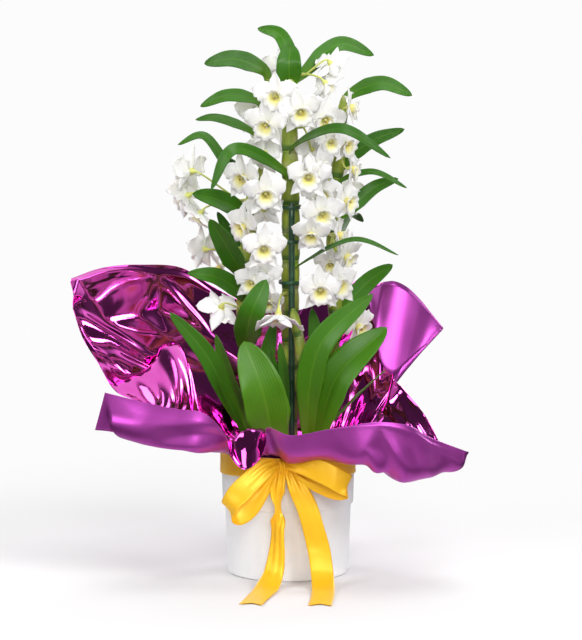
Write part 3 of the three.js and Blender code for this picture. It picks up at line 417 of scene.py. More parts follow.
# The columns' points, in mm, from the front centre by the right, the back and the left.
FILM_COLUMNS = [
    [(-1, -80, 139), (-2, -98, 134), (0, -113, 146), (2, -122, 167)],
    [(24, -76, 140), (36, -104, 138), (42, -122, 150), (44, -130, 175)],
    [(46, -68, 138), (68, -114, 134), (75, -132, 142), (74, -135, 181)],
    [(66, -56, 137), (100, -126, 127), (98, -134, 183)],
    [(78, -44, 137), (130, -118, 124), (128, -122, 177)],
    [(85, -34, 137), (152, -104, 121), (149, -105, 163)],
    [(88, -22, 137), (174, -84, 121), (193, -80, 142)],
    [(90, -12, 137), (146, -44, 130), (168, -42, 140)],
    [(89, 0, 138), (130, 0, 134), (166, 0, 140)],
    [(86, 12, 140), (118, 14, 146), (150, 15, 169)],
    [(82, 22, 142), (108, 26, 168), (126, 35, 197)],
    [(81, 25, 143), (107, 30, 178), (117, 33, 208)],
    [(80, 28, 144), (110, 38, 188), (139, 60, 240)],
    [(78, 31, 144), (118, 48, 200), (174, 75, 258)],
    [(74, 37, 144), (110, 55, 206), (160, 73, 275)],
    [(69, 44, 144), (102, 60, 212), (147, 68, 291)],
    [(64, 51, 144), (93, 66, 218), (131, 64, 306)],
    [(60, 55, 144), (87, 69, 220), (118, 63, 312)],
    [(54, 60, 144), (78, 73, 222), (106, 67, 311)],
    [(44, 68, 144), (60, 84, 222), (80, 92, 310)],
    [(22, 78, 143), (30, 98, 208), (44, 122, 290)],
    [(-2, 81, 143), (0, 100, 202), (8, 130, 273)],
    [(-26, 77, 143), (-32, 96, 204), (-36, 128, 278)],
    [(-44, 68, 143), (-62, 84, 212), (-80, 112, 300)],
    [(-56, 58, 143), (-88, 70, 220), (-119, 92, 325)],
    [(-65, 47, 143), (-108, 56, 220), (-163, 72, 330)],
    [(-71, 36, 143), (-124, 42, 218), (-205, 50, 329)],
    [(-76, 25, 142), (-136, 26, 210), (-236, 28, 320)],
    [(-79, 14, 141), (-140, 10, 198), (-235, 10, 298)],
    [(-81, 4, 140), (-140, -4, 186), (-227, -5, 263)],
    [(-81, -6, 139), (-128, 2, 192), (-206, -20, 228)],
    [(-79, -15, 139), (-104, 14, 200), (-122, 46, 246), (-169, -45, 210), (-181, -73, 203)],
    [(-76, -25, 139), (-112, -48, 184), (-158, -78, 192)],
    [(-74, -33, 138), (-120, -62, 164), (-170, -88, 163), (-203, -94, 169)],
    [(-72, -38, 138), (-120, -74, 154), (-178, -101, 165), (-192, -97, 209)],
    [(-69, -44, 138), (-116, -88, 150), (-152, -114, 160), (-145, -114, 200)],
    [(-63, -51, 138), (-100, -102, 148), (-122, -118, 154), (-116, -120, 195)],
    [(-56, -58, 138), (-78, -100, 147), (-94, -121, 152), (-88, -123, 191)],
    [(-47, -65, 139), (-57, -92, 154), (-65, -118, 167)],
    [(-43, -68, 139), (-50, -84, 166), (-56, -104, 153), (-60, -118, 145)],
    [(-38, -71, 139), (-43, -84, 169), (-46, -104, 147), (-46, -119, 131)],
    [(-33, -73, 139), (-36, -85, 169), (-34, -105, 151), (-31, -119, 140)],
    [(-28, -75, 140), (-30, -87, 169), (-26, -106, 165), (-22, -119, 160)],
    [(-21, -76, 141), (-22, -90, 166), (-21, -108, 172), (-22, -119, 174)],
]
FILM_CORNERS = [6, 13, 18, 27, 33, 34]  # the columns along which the film has a sharp fold
FILM_FLAPS = {  # the columns that end at the fold of the right back lobe, and their cut edge past it
    13: (167, 63, 253), 14: (149, 54, 239), 15: (128, 36, 222), 16: (115, 26, 212), 17: (104, 26, 222),
    18: (97, 43, 262)}
COLUMN_GAP = 10  # mesh columns between two lines of the table
BODY_ROWS = 74
HEM_ROWS = 16  # the last rows: past the fold where there is one, otherwise the last bit of the run
HEM_SHARE = 0.93
# Slack where the film is crumpled: (column, gap between the knots strewn there, their height), in mm.
CRUSH = [
    (0, 40, 1.5), (5, 34, 2.5), (6.5, 15, 3), (12.4, 16, 3), (13.2, 40, 0.5), (18, 40, 0.6), (19, 30, 3),
    (21, 30, 5), (24, 52, 3), (30.4, 46, 3), (31.2, 16, 5), (32.8, 14, 4), (33.3, 48, 1), (38, 40, 1),
    (39, 60, 0), (43, 60, 0)]
ROUNDINGS = 2  # how many times the creases are softened
CUP_GATHER = 2.2 * MM
RIM_GATHER = 1.6 * MM
GATHER_GROWS = 60 * MM  # from the middle of the base out, until the gathers have their full depth
GATHER_FADES = 16 * MM  # past the rim


def smooth_through(knots, per_gap):
    """Points on the smooth curve through knots (a centripetal spline), per_gap for each stretch."""
    knots = np.asarray(knots, float)
    first, last = 2 * knots[0] - knots[1], 2 * knots[-1] - knots[-2]
    row = np.vstack([first, knots, last])
    share = np.linspace(0, 1, per_gap, endpoint=False)[:, None]
    points = []
    for a, b, c, d in zip(row, row[1:], row[2:], row[3:]):
        before, here, after = (
            max(np.linalg.norm(q - p) ** 0.5, 1e-6) for p, q in ((a, b), (b, c), (c, d)))
        leave = (b - a) / before - (c - a) / (before + here) + (c - b) / here
        arrive = (c - b) / here - (d - b) / (here + after) + (d - c) / after
        leave, arrive = leave * here, arrive * here
        points.append(b + leave * share + (3 * (c - b) - 2 * leave - arrive) * share ** 2
                      + (2 * (b - c) + leave + arrive) * share ** 3)
    return np.vstack([*points, knots[-1:]])


def resampled(points, shares):
    """Points at shares of the length of a dense line. Only the first three columns are its place."""
    steps = np.linalg.norm(np.diff(points[:, :3], axis=0), axis=1)
    run = np.concatenate([[0], np.cumsum(steps)])
    return np.column_stack([np.interp(np.asarray(shares) * run[-1], run, column) for column in points.T])


def film_columns():
    """The table's columns as rows of points of equal number, from the middle of the base outwards."""
    columns = []
    for number, points in enumerate(FILM_COLUMNS):
        run = np.array(points, float)
        turn = math.atan2(run[0][1], run[0][0])
        cup = [(radius * math.cos(turn), radius * math.sin(turn), z) for radius, z in FILM_CUP]
        flare = smooth_through([cup[-1], *run], 30)
        flap = FILM_FLAPS.get(number)
        body = resampled(flare, np.linspace(0, 1 if flap else HEM_SHARE, BODY_ROWS))
        if flap:
            hem = body[-1] + (np.array(flap) - body[-1]) * np.linspace(0, 1, HEM_ROWS + 1)[1:, None]
        else:
            hem = resampled(flare, np.linspace(HEM_SHARE, 1, HEM_ROWS + 1)[1:])
        columns.append(np.vstack([cup[:-1], body, hem]))
    return np.array(columns) * MM


def film_grid():
    """The film's points as [column][row]: smooth round the sheet, with a fold line at each corner."""
    columns = film_columns()
    count = len(columns)
    stretches = []
    for start, end in zip(FILM_CORNERS, FILM_CORNERS[1:] + [FILM_CORNERS[0] + count]):
        picked = columns[[i % count for i in range(start, end + 1)]]
        rows = [smooth_through(picked[:, row], COLUMN_GAP)[:-1] for row in range(picked.shape[1])]
        stretches.append(np.stack(rows, axis=1))
    return np.roll(np.concatenate(stretches), FILM_CORNERS[0] * COLUMN_GAP, axis=0)


def unit(vectors):
    """Vectors of length one."""
    return vectors / np.maximum(np.linalg.norm(vectors, axis=-1, keepdims=True), 1e-12)


def grid_normals(grid):
    """The unit normal at each point of a grid that closes on itself along its first axis."""
    along = np.gradient(grid, axis=1)
    across = np.roll(grid, -1, axis=0) - np.roll(grid, 1, axis=0)
    return unit(np.cross(across, along))


def sawtooth(value):
    """A triangle wave from -1 to 1, once for each unit of value."""
    return 4 * np.abs(value % 1 - 0.5) - 1


# The film's own creases: each is a line of knots as (column, share of the run, height in mm), and a
# height is towards the satin face. Between knots the film is flat, and more knots are strewn round them.
FILM_CREASES = [
    [(28.0, 1.0, -4), (26.7, 0.97, -4), (25.4, 0.97, -3), (24.7, 0.93, -4)],  # the left lobe's top band
    [(27.05, 1.0, 7), (26.2, 1.0, 6), (25.3, 1.0, 1)],
    [(28.25, 1.0, 3), (27.4, 0.76, 3), (26.7, 0.54, 0)],  # the narrow ridge under it, in two lines
    [(28.65, 1.0, -3), (27.75, 0.74, -3), (26.95, 0.5, -2)],
    [(24.7, 0.93, -4), (25.3, 0.8, -6), (26.1, 0.71, -5), (26.4, 0.64, 1), (25.5, 0.6, -2)],
    [(24.7, 0.93, -4), (25.1, 0.76, 5), (25.5, 0.6, -2)],
    [(24.45, 0.91, 3), (24.0, 0.78, 5), (23.5, 0.66, 2)],  # a second ridge, right of the pinch
    [(24.55, 0.87, -3), (24.2, 0.76, -4), (23.7, 0.64, -1)],
    [(26.8, 0.86, 4)],
    [(28.9, 0.9, 4), (28.2, 0.73, 3), (28.9, 0.78, -3), (29.3, 0.92, -3), (28.9, 0.9, 4)],
    [(27.8, 0.61, 3), (27.05, 0.46, 3), (27.6, 0.48, -4), (28.3, 0.62, -4)],
    [(2.9, 0.98, 1), (3.3, 0.8, 6), (3.65, 0.62, 7)],  # the front right panel's ridges, from its bent edge
    [(2.9, 0.98, 1), (3.0, 0.78, -3), (3.1, 0.6, -5)],
    [(2.9, 0.98, 1), (3.9, 0.86, 0), (4.3, 0.68, 3)],
    [(2.2, 0.82, 2), (2.65, 0.62, 5)],
    [(2.2, 0.82, 2), (2.3, 0.6, -4)],
    [(2.2, 0.82, 2), (1.7, 0.62, 4)],
    [(2.2, 0.82, 2), (2.9, 0.98, 1)],
    [(1.2, 0.4, -2), (2.0, 0.44, -8), (3.0, 0.42, -9)],  # the deep valley under them
    [(7.0, 1.0, 0)], [(12.6, 1.0, 0)], [(13.0, 1.0, 0)], [(13.5, 0.95, 0)], [(18.0, 0.97, 0)],
    [(33.0, 1.0, 0)], [(34.0, 1.0, 0)],
    [(34.2, 0.7, 1), (35.6, 0.62, -3), (37.0, 0.7, 1)],  # slack lines along the left panel
    [(35.2, 0.86, 2), (36.6, 0.8, -2)],
    [(4.9, 0.95, 2), (5.2, 0.6, -2)],
]
KNOT_TRIES = 9000
EDGE_KNOTS = 0.15  # the share of the strewn knots that lie on the cut edge
COLUMN_WIDTH, RUN_LENGTH = 12, 170  # a gap between columns and a run on the sheet, about, in mm


def film_knots(grid, share):
    """The knots as (column, share, height), with the pairs that a crease joins."""
    chance = np.random.default_rng(6)
    first = len(FILM_CUP) - 1
    crush_columns, crush_gaps, crush_heights = zip(*CRUSH)

    def place(column, out):
        return grid[int(round(column * COLUMN_GAP)) % len(grid), np.argmin(np.abs(share - out))]

    knots, joins, taken = [], [], []
    for line in FILM_CREASES:
        for knot in line:
            if knot not in knots:
                knots.append(knot)
        joins.extend((knots.index(a), knots.index(b)) for a, b in zip(line, line[1:]))
        ends = np.array([place(column, out) for column, out, _ in line])
        taken.extend(smooth_through(ends, 6) if len(line) > 1 else ends)
    for column in np.arange(0, len(FILM_COLUMNS), 1.0):
        knots.append((column, share[first], 0))
        taken.append(place(column, share[first]))
    for _ in range(KNOT_TRIES):
        i = chance.integers(len(grid))
        j = len(share) - 1 if chance.random() < EDGE_KNOTS else chance.integers(first + 3, len(share))
        column = i / COLUMN_GAP
        near_rim = np.interp(share[j], [0.1, 0.4], [0.45, 1])
        gap, height = (np.interp(column, crush_columns, values) for values in (crush_gaps, crush_heights))
        if np.min(np.linalg.norm(np.array(taken) - grid[i, j], axis=1)) > gap * near_rim * MM:
            sign = chance.choice((-1, 1))
            knots.append((column, share[j], height * near_rim * sign * chance.uniform(0.4, 1)))
            taken.append(grid[i, j])
    return knots, joins


def faceted(grid, share):
    """Heights on the grid: flat facets between the knots, with each crease as an edge of theirs."""
    knots, joins = film_knots(grid, share)
    around = len(FILM_COLUMNS)
    wrapped, pairs = list(knots), list(joins)
    for turn in (-around, around):
        for column, out, height in knots:
            if -4 < column + turn < around + 4:
                wrapped.append((column + turn, out, height))
    corners = [Vector((column * COLUMN_WIDTH, out * RUN_LENGTH)) for column, out, _ in wrapped]
    made = delaunay_2d_cdt(corners, pairs, [], 0, 1e-5)
    places = np.array(made[0])
    heights = np.array([wrapped[origin[0]][2] if origin else 0 for origin in made[3]])
    columns = np.arange(len(grid)) / COLUMN_GAP * COLUMN_WIDTH
    rise = np.zeros(grid.shape[:2])
    for corner_ids in made[2]:
        (ax, ay), (bx, by), (cx, cy) = places[list(corner_ids)]
        a, b, c = heights[list(corner_ids)]
        area = (bx - ax) * (cy - ay) - (cx - ax) * (by - ay)
        if abs(area) < 1e-9:
            continue
        picked = np.flatnonzero((columns >= min(ax, bx, cx) - 1e-6) & (columns <= max(ax, bx, cx) + 1e-6))
        x, y = columns[picked][:, None], share[None, :] * RUN_LENGTH
        second = ((x - ax) * (cy - ay) - (cx - ax) * (y - ay)) / area
        third = ((bx - ax) * (y - ay) - (x - ax) * (by - ay)) / area
        inside = (second >= -1e-6) & (third >= -1e-6) & (second + third <= 1 + 1e-6)
        value = a + (b - a) * second + (c - a) * third
        rise[picked] = np.where(inside, value, rise[picked])
    return rise * MM


def rounded(values):
    """Values on the grid, each taken half with its neighbours' mean, along and across."""
    along = np.concatenate([values[:, :1], values, values[:, -1:]], axis=1)
    values = (along[:, :-2] + 2 * along[:, 1:-1] + along[:, 2:]) / 4
    return (np.roll(values, 1, axis=0) + 2 * values + np.roll(values, -1, axis=0)) / 4


def folded(grid):
    """The film's points with its gathers at the rim and its creases, along its normals."""
    columns, rows, _ = grid.shape
    steps = np.linalg.norm(np.diff(grid, axis=1), axis=2)
    radius = np.concatenate([np.zeros((columns, 1)), np.cumsum(steps, axis=1)], axis=1)
    first = len(FILM_CUP) - 1
    past_rim = np.clip(radius - radius[:, first:first + 1], 0, None)
    share = np.interp(np.arange(rows), [first, first + BODY_ROWS - 1, rows - 1], [0, HEM_SHARE, 1])
    column = np.arange(columns) / COLUMN_GAP
    gather = sawtooth(column * 1.05 + 0.3 * np.sin(column * 0.9))[:, None]
    below = np.clip(radius / GATHER_GROWS, 0, 1) * (past_rim == 0)
    rise = gather * (CUP_GATHER * below + RIM_GATHER * np.exp(-past_rim / GATHER_FADES) * (past_rim > 0))
    rise += faceted(grid, share) * (past_rim > 0)
    for _ in range(ROUNDINGS):
        rise = rounded(rise)
    return grid + grid_normals(grid) * rise[..., None]


def sheet_faces(columns, rows, closed, start=0):
    """The quads of a grid of points [column][row]. A closed grid joins its last column to its first."""
    faces = []
    for i in range(columns if closed else columns - 1):
        here, there = start + i * rows, start + (i + 1) % columns * rows
        faces.extend((here + j, there + j, there + j + 1, here + j + 1) for j in range(rows - 1))
    return faces


def merge_points(piece, gap, outward=False):
    """A piece's points that lie within a gap made one, and its faces turned outward if that is asked."""
    shell = bmesh.new()
    shell.from_mesh(piece.data)
    bmesh.ops.remove_doubles(shell, verts=shell.verts, dist=gap)
    if outward:
        bmesh.ops.recalc_face_normals(shell, faces=shell.faces)
    shell.to_mesh(piece.data)
    shell.free()


def apply_modifier(piece, kind, **settings):
    """A modifier that is set and applied at once."""
    made = piece.modifiers.new(kind.lower(), kind)
    for name, value in settings.items():
        setattr(made, name, value)
    bpy.ops.object.select_all(action="DESELECT")
    bpy.context.view_layer.objects.active = piece
    piece.select_set(True)
    bpy.ops.object.modifier_apply(modifier=made.name)


film_points = folded(film_grid())
film_points[:, 0] = film_points[:, 0].mean(axis=0)
film = mesh_piece(
    "film_wrap_sheet", film_points.reshape(-1, 3), sheet_faces(*film_points.shape[:2], closed=True))
merge_points(film, 0.01 * MM)
satin_purple = grained_finish(
    "satin_purple_film", 22, [(0.35, (0.42, 0.06, 0.38)), (0.65, (0.48, 0.075, 0.43))],
    (0.38, 0.44), 0.04 * MM, Metallic=0.9)
mirror_magenta = grained_finish(
    "mirror_magenta_film", 22, [(0.35, (0.80, 0.09, 0.56)), (0.65, (0.86, 0.12, 0.62))],
    (0.06, 0.1), 0.02 * MM, Metallic=1.0)
film.data.materials.append(satin_purple)
film.data.materials.append(mirror_magenta)
apply_modifier(film, "SOLIDIFY", thickness=FILM_THICKNESS, offset=0, material_offset=1)
bpy.ops.object.shade_smooth()
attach(film, "root")
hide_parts("film_wrap")

# ---------------------------------------------------------------- ribbon
# One length of golden satin ribbon, 24 mm wide, tied tight round the collar: a band, a small crushed
# knot, two loops, and two tails that hang down the pot and lie out on the table, cut to a V.
# A station is a point of the middle line, the way that the width runs there, and the width, in mm.
RIBBON_WIDTH = 24 * MM
RIBBON_THICKNESS = 0.35 * MM
RIBBON_Z = 119.5 * MM
RIBBON_PARTS = {
    "left_loop": [
        ((-12, -85, 132), (-0.1, 0.5, 1), 12), ((-23, -92, 128), (-0.45, 0.25, 0.9), 18),
        ((-36, -99, 118), (-0.65, 0.2, 0.75), 22), ((-49, -105, 106), (-0.7, 0.3, 0.7), 24),
        ((-60, -107, 94), (-0.6, 0.7, 0.65), 24), ((-63, -102, 84), (-0.55, 0.45, 0.8), 24),
        ((-54, -96, 79), (-0.6, 0.2, 0.8), 24), ((-43, -92, 85), (-0.6, 0, 0.8), 24),
        ((-31, -89, 101), (-0.5, 0, 0.85), 21), ((-19, -87, 120), (-0.3, 0.2, 0.9), 15),
        ((-12, -84, 129), (-0.1, 0.3, 1), 9)],
    "right_loop": [
        ((-3, -85, 133), (0, 0.5, 1), 12), ((6, -92, 133), (0, 0.3, 1), 18),
        ((18, -100, 132), (0, 0.15, 1), 22), ((34, -106, 127), (0, 0.1, 1), 24),
        ((50, -107, 119), (0.1, 0.1, 1), 24), ((62, -101, 110), (0.2, 0, 1), 24),
        ((53, -94, 106), (0.15, 0, 1), 24), ((36, -90, 111), (0.1, 0, 1), 23),
        ((18, -88, 120), (0, 0.2, 1), 18), ((4, -85, 129), (0, 0.3, 1), 10)],
    "left_tail": [
        ((-8, -85, 125), (1, 0.1, 0.1), 13), ((-11, -89, 106), (1, -0.2, 0), 16),
        ((-11, -86, 86), (0.4, 1, 0), 15), ((-11, -85, 60), (0.75, -0.6, 0.1), 17),
        ((-12, -87, 36), (0.85, -0.45, 0), 19), ((-15, -92, 16), (0.95, 0, 0.1), 21),
        ((-21, -108, 5), (1, 0.3, 0), 24), ((-30, -140, 1.4), (1, 0.3, 0), 24),
        ((-38, -176, 1.2), (1, 0.35, 0), 24)],
    "right_tail": [
        ((2, -85, 125), (1, 0.1, -0.3), 13), ((10, -90, 107), (1, 0.1, -0.3), 20),
        ((20, -90, 86), (1, 0.1, -0.2), 22), ((27, -88, 62), (1, -0.1, -0.2), 23),
        ((33, -87, 38), (1, 0.1, -0.2), 24), ((36, -92, 17), (1, 0, -0.1), 24),
        ((37, -108, 5), (1, 0, 0), 24), ((36, -140, 1.4), (1, 0.1, 0), 24),
        ((33, -180, 1.2), (1, 0.1, 0), 24)],
}
KNOT_MIDDLE = np.array((-4, -82, 127)) * MM
KNOT_RADIUS = 8 * MM
KNOT_PLEATS = 1.3 * MM
KNOT_PINCH = 2.4 * MM  # how much slimmer the knot is at its two ends
BAND_DRAWN = 7.5 * MM  # the bow draws the band's lower edge up by 0.9 of this, its upper edge by 0.5
BAND_SLACK = 0.9 * MM  # between the collar and the band
BAND_RIPPLE = 0.25 * MM
BAND_SIDES, KNOT_SIDES, KNOT_ROWS = 160, 48, 21
ACROSS = 15  # points across the ribbon
TURN_REACH = 8  # mm that a station's way across counts for on the curve, so that it turns smoothly
GATHER_DEPTH = 3.4 * MM
GATHER_WAVES = 2.6 * math.pi  # radians from the middle to an edge
CROWN = 0.9 * MM
NOTCH = 8 * MM
STATION_GAP = 20 * MM  # about
THREADS = 9000.0  # radians of the weave's wave for each metre


def triples(*values):
    """Three arrays, spread to one shape, as an array of points or marks."""
    return np.stack(np.broadcast_arrays(*values), axis=-1)


def strip_grid(stations, steps, notched=False):
    """The points [across][along] of a strip of ribbon, its gathers deeper where it is narrow."""
    knots = [(*at, *(TURN_REACH * unit(np.array(across, float))), width) for at, across, width in stations]
    line = resampled(smooth_through(knots, 20), np.linspace(0, 1, steps))
    centre, width = line[:, :3] * MM, line[:, 6] * MM
    along = unit(np.gradient(centre, axis=0))
    side = line[:, 3:6] - np.sum(line[:, 3:6] * along, axis=1, keepdims=True) * along
    side = unit(side)
    through = np.cross(along, side)
    share = np.linspace(-1, 1, ACROSS)[:, None]
    narrow = np.clip(1 - width / RIBBON_WIDTH, 0, 1)
    run = np.linspace(0, 1, steps)
    gather = GATHER_DEPTH * narrow * np.cos(GATHER_WAVES * share + 1.5 * run)
    crown = CROWN * np.sin(math.pi * run) * (1 - share ** 2)
    grid = (centre + side * (share * width / 2)[..., None] + through * (gather + crown)[..., None])
    if notched:
        reach = np.clip((run - 0.8) / 0.2, 0, 1) ** 2
        grid += along * (-NOTCH * (1 - np.abs(share)) * reach + 0.35 * NOTCH * reach)[..., None]
    return grid, triples(share, run * len(stations) * STATION_GAP, 0 * share), False


def band_grid():
    """The band round the collar, drawn up and a little narrower under the bow, with soft ripples."""
    turn = np.linspace(0, 2 * math.pi, BAND_SIDES, endpoint=False)[:, None]
    rise = np.linspace(-1, 1, ACROSS)[None, :]
    radius = RIM_RADIUS + BAND_SLACK + BAND_RIPPLE * np.sin(9 * turn + 1.5 * rise) * (1 - rise ** 2)
    drawn = BAND_DRAWN * ((1 - np.sin(turn)) / 2) ** 2
    height = RIBBON_Z + rise * RIBBON_WIDTH / 2 + drawn * (0.7 - 0.2 * rise)
    grid = triples(radius * np.cos(turn), radius * np.sin(turn), height)
    return grid, triples(rise, turn * RIM_RADIUS, 0 * turn), True


def knot_grid():
    """The turn of ribbon that is pulled tight over the middle of the bow, crushed into pleats."""
    turn = np.linspace(0, 2 * math.pi, KNOT_SIDES, endpoint=False)[:, None]
    share = np.linspace(-1, 1, KNOT_ROWS)[None, :]
    pleats = KNOT_PLEATS * np.cos(3.5 * math.pi * share + 0.8 * np.sin(turn))
    swell = KNOT_RADIUS + pleats - KNOT_PINCH * share ** 2
    half = (8.5 + 1.5 * np.cos(turn)) * MM
    grid = triples(
        KNOT_MIDDLE[0] + share * half + 0.5 * MM * np.sin(3 * turn),
        KNOT_MIDDLE[1] + 0.8 * swell * np.cos(turn),
        KNOT_MIDDLE[2] + swell * np.sin(turn))
    return grid, triples(share, turn * 0.01, 0 * turn), True


def marked_piece(name, patches):
    """An object of grids of points. Its attribute spot holds the marks that its material reads."""
    points, faces, spots = [], [], []
    for grid, marks, closed in patches:
        faces.extend(sheet_faces(*grid.shape[:2], closed, len(points)))
        points.extend(grid.reshape(-1, 3))
        spots.extend(np.broadcast_to(marks, grid.shape).reshape(-1, 3))
    piece = mesh_piece(name, points, faces)
    spot = piece.data.attributes.new("spot", "FLOAT_VECTOR", "POINT")
    spot.data.foreach_set("vector", np.array(spots, np.float32).ravel())
    merge_points(piece, 0.002 * MM, outward=True)
    return piece


def spot_values(tree):
    """The piece's own marks, as separate values."""
    read = add_node(tree, "ShaderNodeAttribute", attribute_name="spot")
    split = add_node(tree, "ShaderNodeSeparateXYZ")
    wire(read.outputs["Vector"], split.inputs["Vector"])
    return split.outputs


ribbon = marked_piece("satin_bow", [
    band_grid(),
    knot_grid(),
    strip_grid(RIBBON_PARTS["left_loop"], 90),
    strip_grid(RIBBON_PARTS["right_loop"], 90),
    strip_grid(RIBBON_PARTS["left_tail"], 110, notched=True),
    strip_grid(RIBBON_PARTS["right_tail"], 110, notched=True),
])
ribbon_tree, ribbon_shader, golden_satin = new_material(
    "golden_satin", Metallic=0.2, Specular_IOR_Level=0.5, Sheen_Weight=0.1, Sheen_Roughness=0.4)
ribbon_mask = grain(ribbon_tree, 40).outputs["Mask"]
wire(ramp(ribbon_mask, [(0.3, (0.96, 0.5, 0.005)), (0.7, (1.0, 0.58, 0.01))]),
     ribbon_shader.inputs["Base Color"])
wire(between(ribbon_mask, 0.32, 0.42), ribbon_shader.inputs["Roughness"])
weave = calculated("SINE", calculated("MULTIPLY", spot_values(ribbon_tree)["Y"], THREADS))
bump(ribbon_shader, weave, 0.02 * MM)
ribbon.data.materials.append(golden_satin)
apply_modifier(ribbon, "SOLIDIFY", thickness=RIBBON_THICKNESS, offset=0)
bpy.ops.object.shade_smooth()
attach(ribbon, "root")
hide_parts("ribbon")

# ---------------------------------------------------------------- stake and ties
# A plastic-coated steel stake, pushed down into the bark in front of the middle cane, and three
# flat green ties that hold the cane to it. The stake has moulded rings and a rounded top.
STAKE_RADIUS = 3.4 * MM
STAKE_X, STAKE_Y = 4 * MM, -24 * MM
STAKE_FOOT_Z = 40 * MM
STAKE_TOP_Z = 404 * MM
FIRST_RING_Z = STAKE_FOOT_Z + 12 * MM
RING_GAP = 16 * MM
RING_HALF = 0.8 * MM  # half of a ring's height
STAKE_RING_SWELL = 1.05
bpy.ops.object.select_all(action="DESELECT")
bpy.ops.mesh.primitive_cylinder_add(
    vertices=32, radius=STAKE_RADIUS, depth=STAKE_TOP_Z - STAKE_FOOT_Z,
    location=(STAKE_X, STAKE_Y, (STAKE_TOP_Z + STAKE_FOOT_Z) / 2))
stake = bpy.context.object
stake.name = "coated_stake"
bpy.ops.object.transform_apply(location=True)
ring_heights = np.arange(FIRST_RING_Z, STAKE_TOP_Z - 8 * MM, RING_GAP) + RING_HALF
bpy.ops.object.mode_set(mode="EDIT")
for height in ring_heights:
    for cut_height in (height - RING_HALF, height, height + RING_HALF):
        bpy.ops.mesh.select_all(action="SELECT")
        bpy.ops.mesh.bisect(plane_co=(0, 0, cut_height), plane_no=(0, 0, 1))
bpy.ops.object.mode_set(mode="OBJECT")
for vert in stake.data.vertices:
    if np.min(np.abs(ring_heights - vert.co.z)) < 0.1 * MM:
        vert.co.x = STAKE_X + (vert.co.x - STAKE_X) * STAKE_RING_SWELL
        vert.co.y = STAKE_Y + (vert.co.y - STAKE_Y) * STAKE_RING_SWELL
apply_modifier(stake, "BEVEL", width=1.2 * MM, segments=4, limit_method="ANGLE",
               angle_limit=math.radians(60))
bpy.ops.object.shade_smooth_by_angle(angle=math.radians(40))
coated_green = grained_finish(
    "dark_green_coating", 80, [(0.3, (0.002, 0.035, 0.009)), (0.7, (0.004, 0.06, 0.016))],
    (0.28, 0.42), 0.1 * MM, (1, 1, 0.3), Coat_Weight=0.2)
stake.data.materials.append(coated_green)
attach(stake, "root")
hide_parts("plant_stake")

TIE_HEIGHTS = (399 * MM, 362 * MM, 318 * MM)
TIE_HALF_HEIGHT = 1.4 * MM
TIE_HALF_THICKNESS = 0.5 * MM
TIE_CLEARANCE = 2 * MM
TIE_TAPER = 0.62  # how narrow the loop is where it goes round the stake
CENTRE_CANE_X, CENTRE_CANE_Y, CENTRE_CANE_RADIUS = 2.5 * MM, -7.6 * MM, 10 * MM
TIE_FRONT = STAKE_Y - STAKE_RADIUS - TIE_CLEARANCE
for number, height in enumerate(TIE_HEIGHTS, start=1):
    bpy.ops.curve.primitive_bezier_circle_add(radius=CENTRE_CANE_RADIUS + TIE_CLEARANCE, location=(0, 0, 0))
    loop = bpy.context.object
    loop.name = f"plant_tie_{number}"
    for point in loop.data.splines[0].bezier_points:
        if point.co.y < -0.001:
            rise = TIE_FRONT - CENTRE_CANE_Y - point.co.y
            for part in ("co", "handle_left", "handle_right"):
                place = getattr(point, part)
                narrow = TIE_TAPER if part != "co" else 1
                setattr(point, part, Vector((place.x * narrow, place.y + rise, place.z)))
    loop.data.extrude = TIE_HALF_HEIGHT
    loop.data.bevel_depth = TIE_HALF_THICKNESS
    loop.data.bevel_resolution = 2
    loop.location = (CENTRE_CANE_X, CENTRE_CANE_Y, height)
    bpy.ops.object.select_all(action="DESELECT")
    loop.select_set(True)
    bpy.context.view_layer.objects.active = loop
    bpy.ops.object.convert(target="MESH")
    bpy.ops.object.transform_apply(location=True, rotation=True, scale=True)
    bpy.ops.object.shade_smooth()
    loop = bpy.context.object
    loop.data.materials.append(coated_green)
    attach(loop, "root")
    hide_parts(f"tie_{number}")

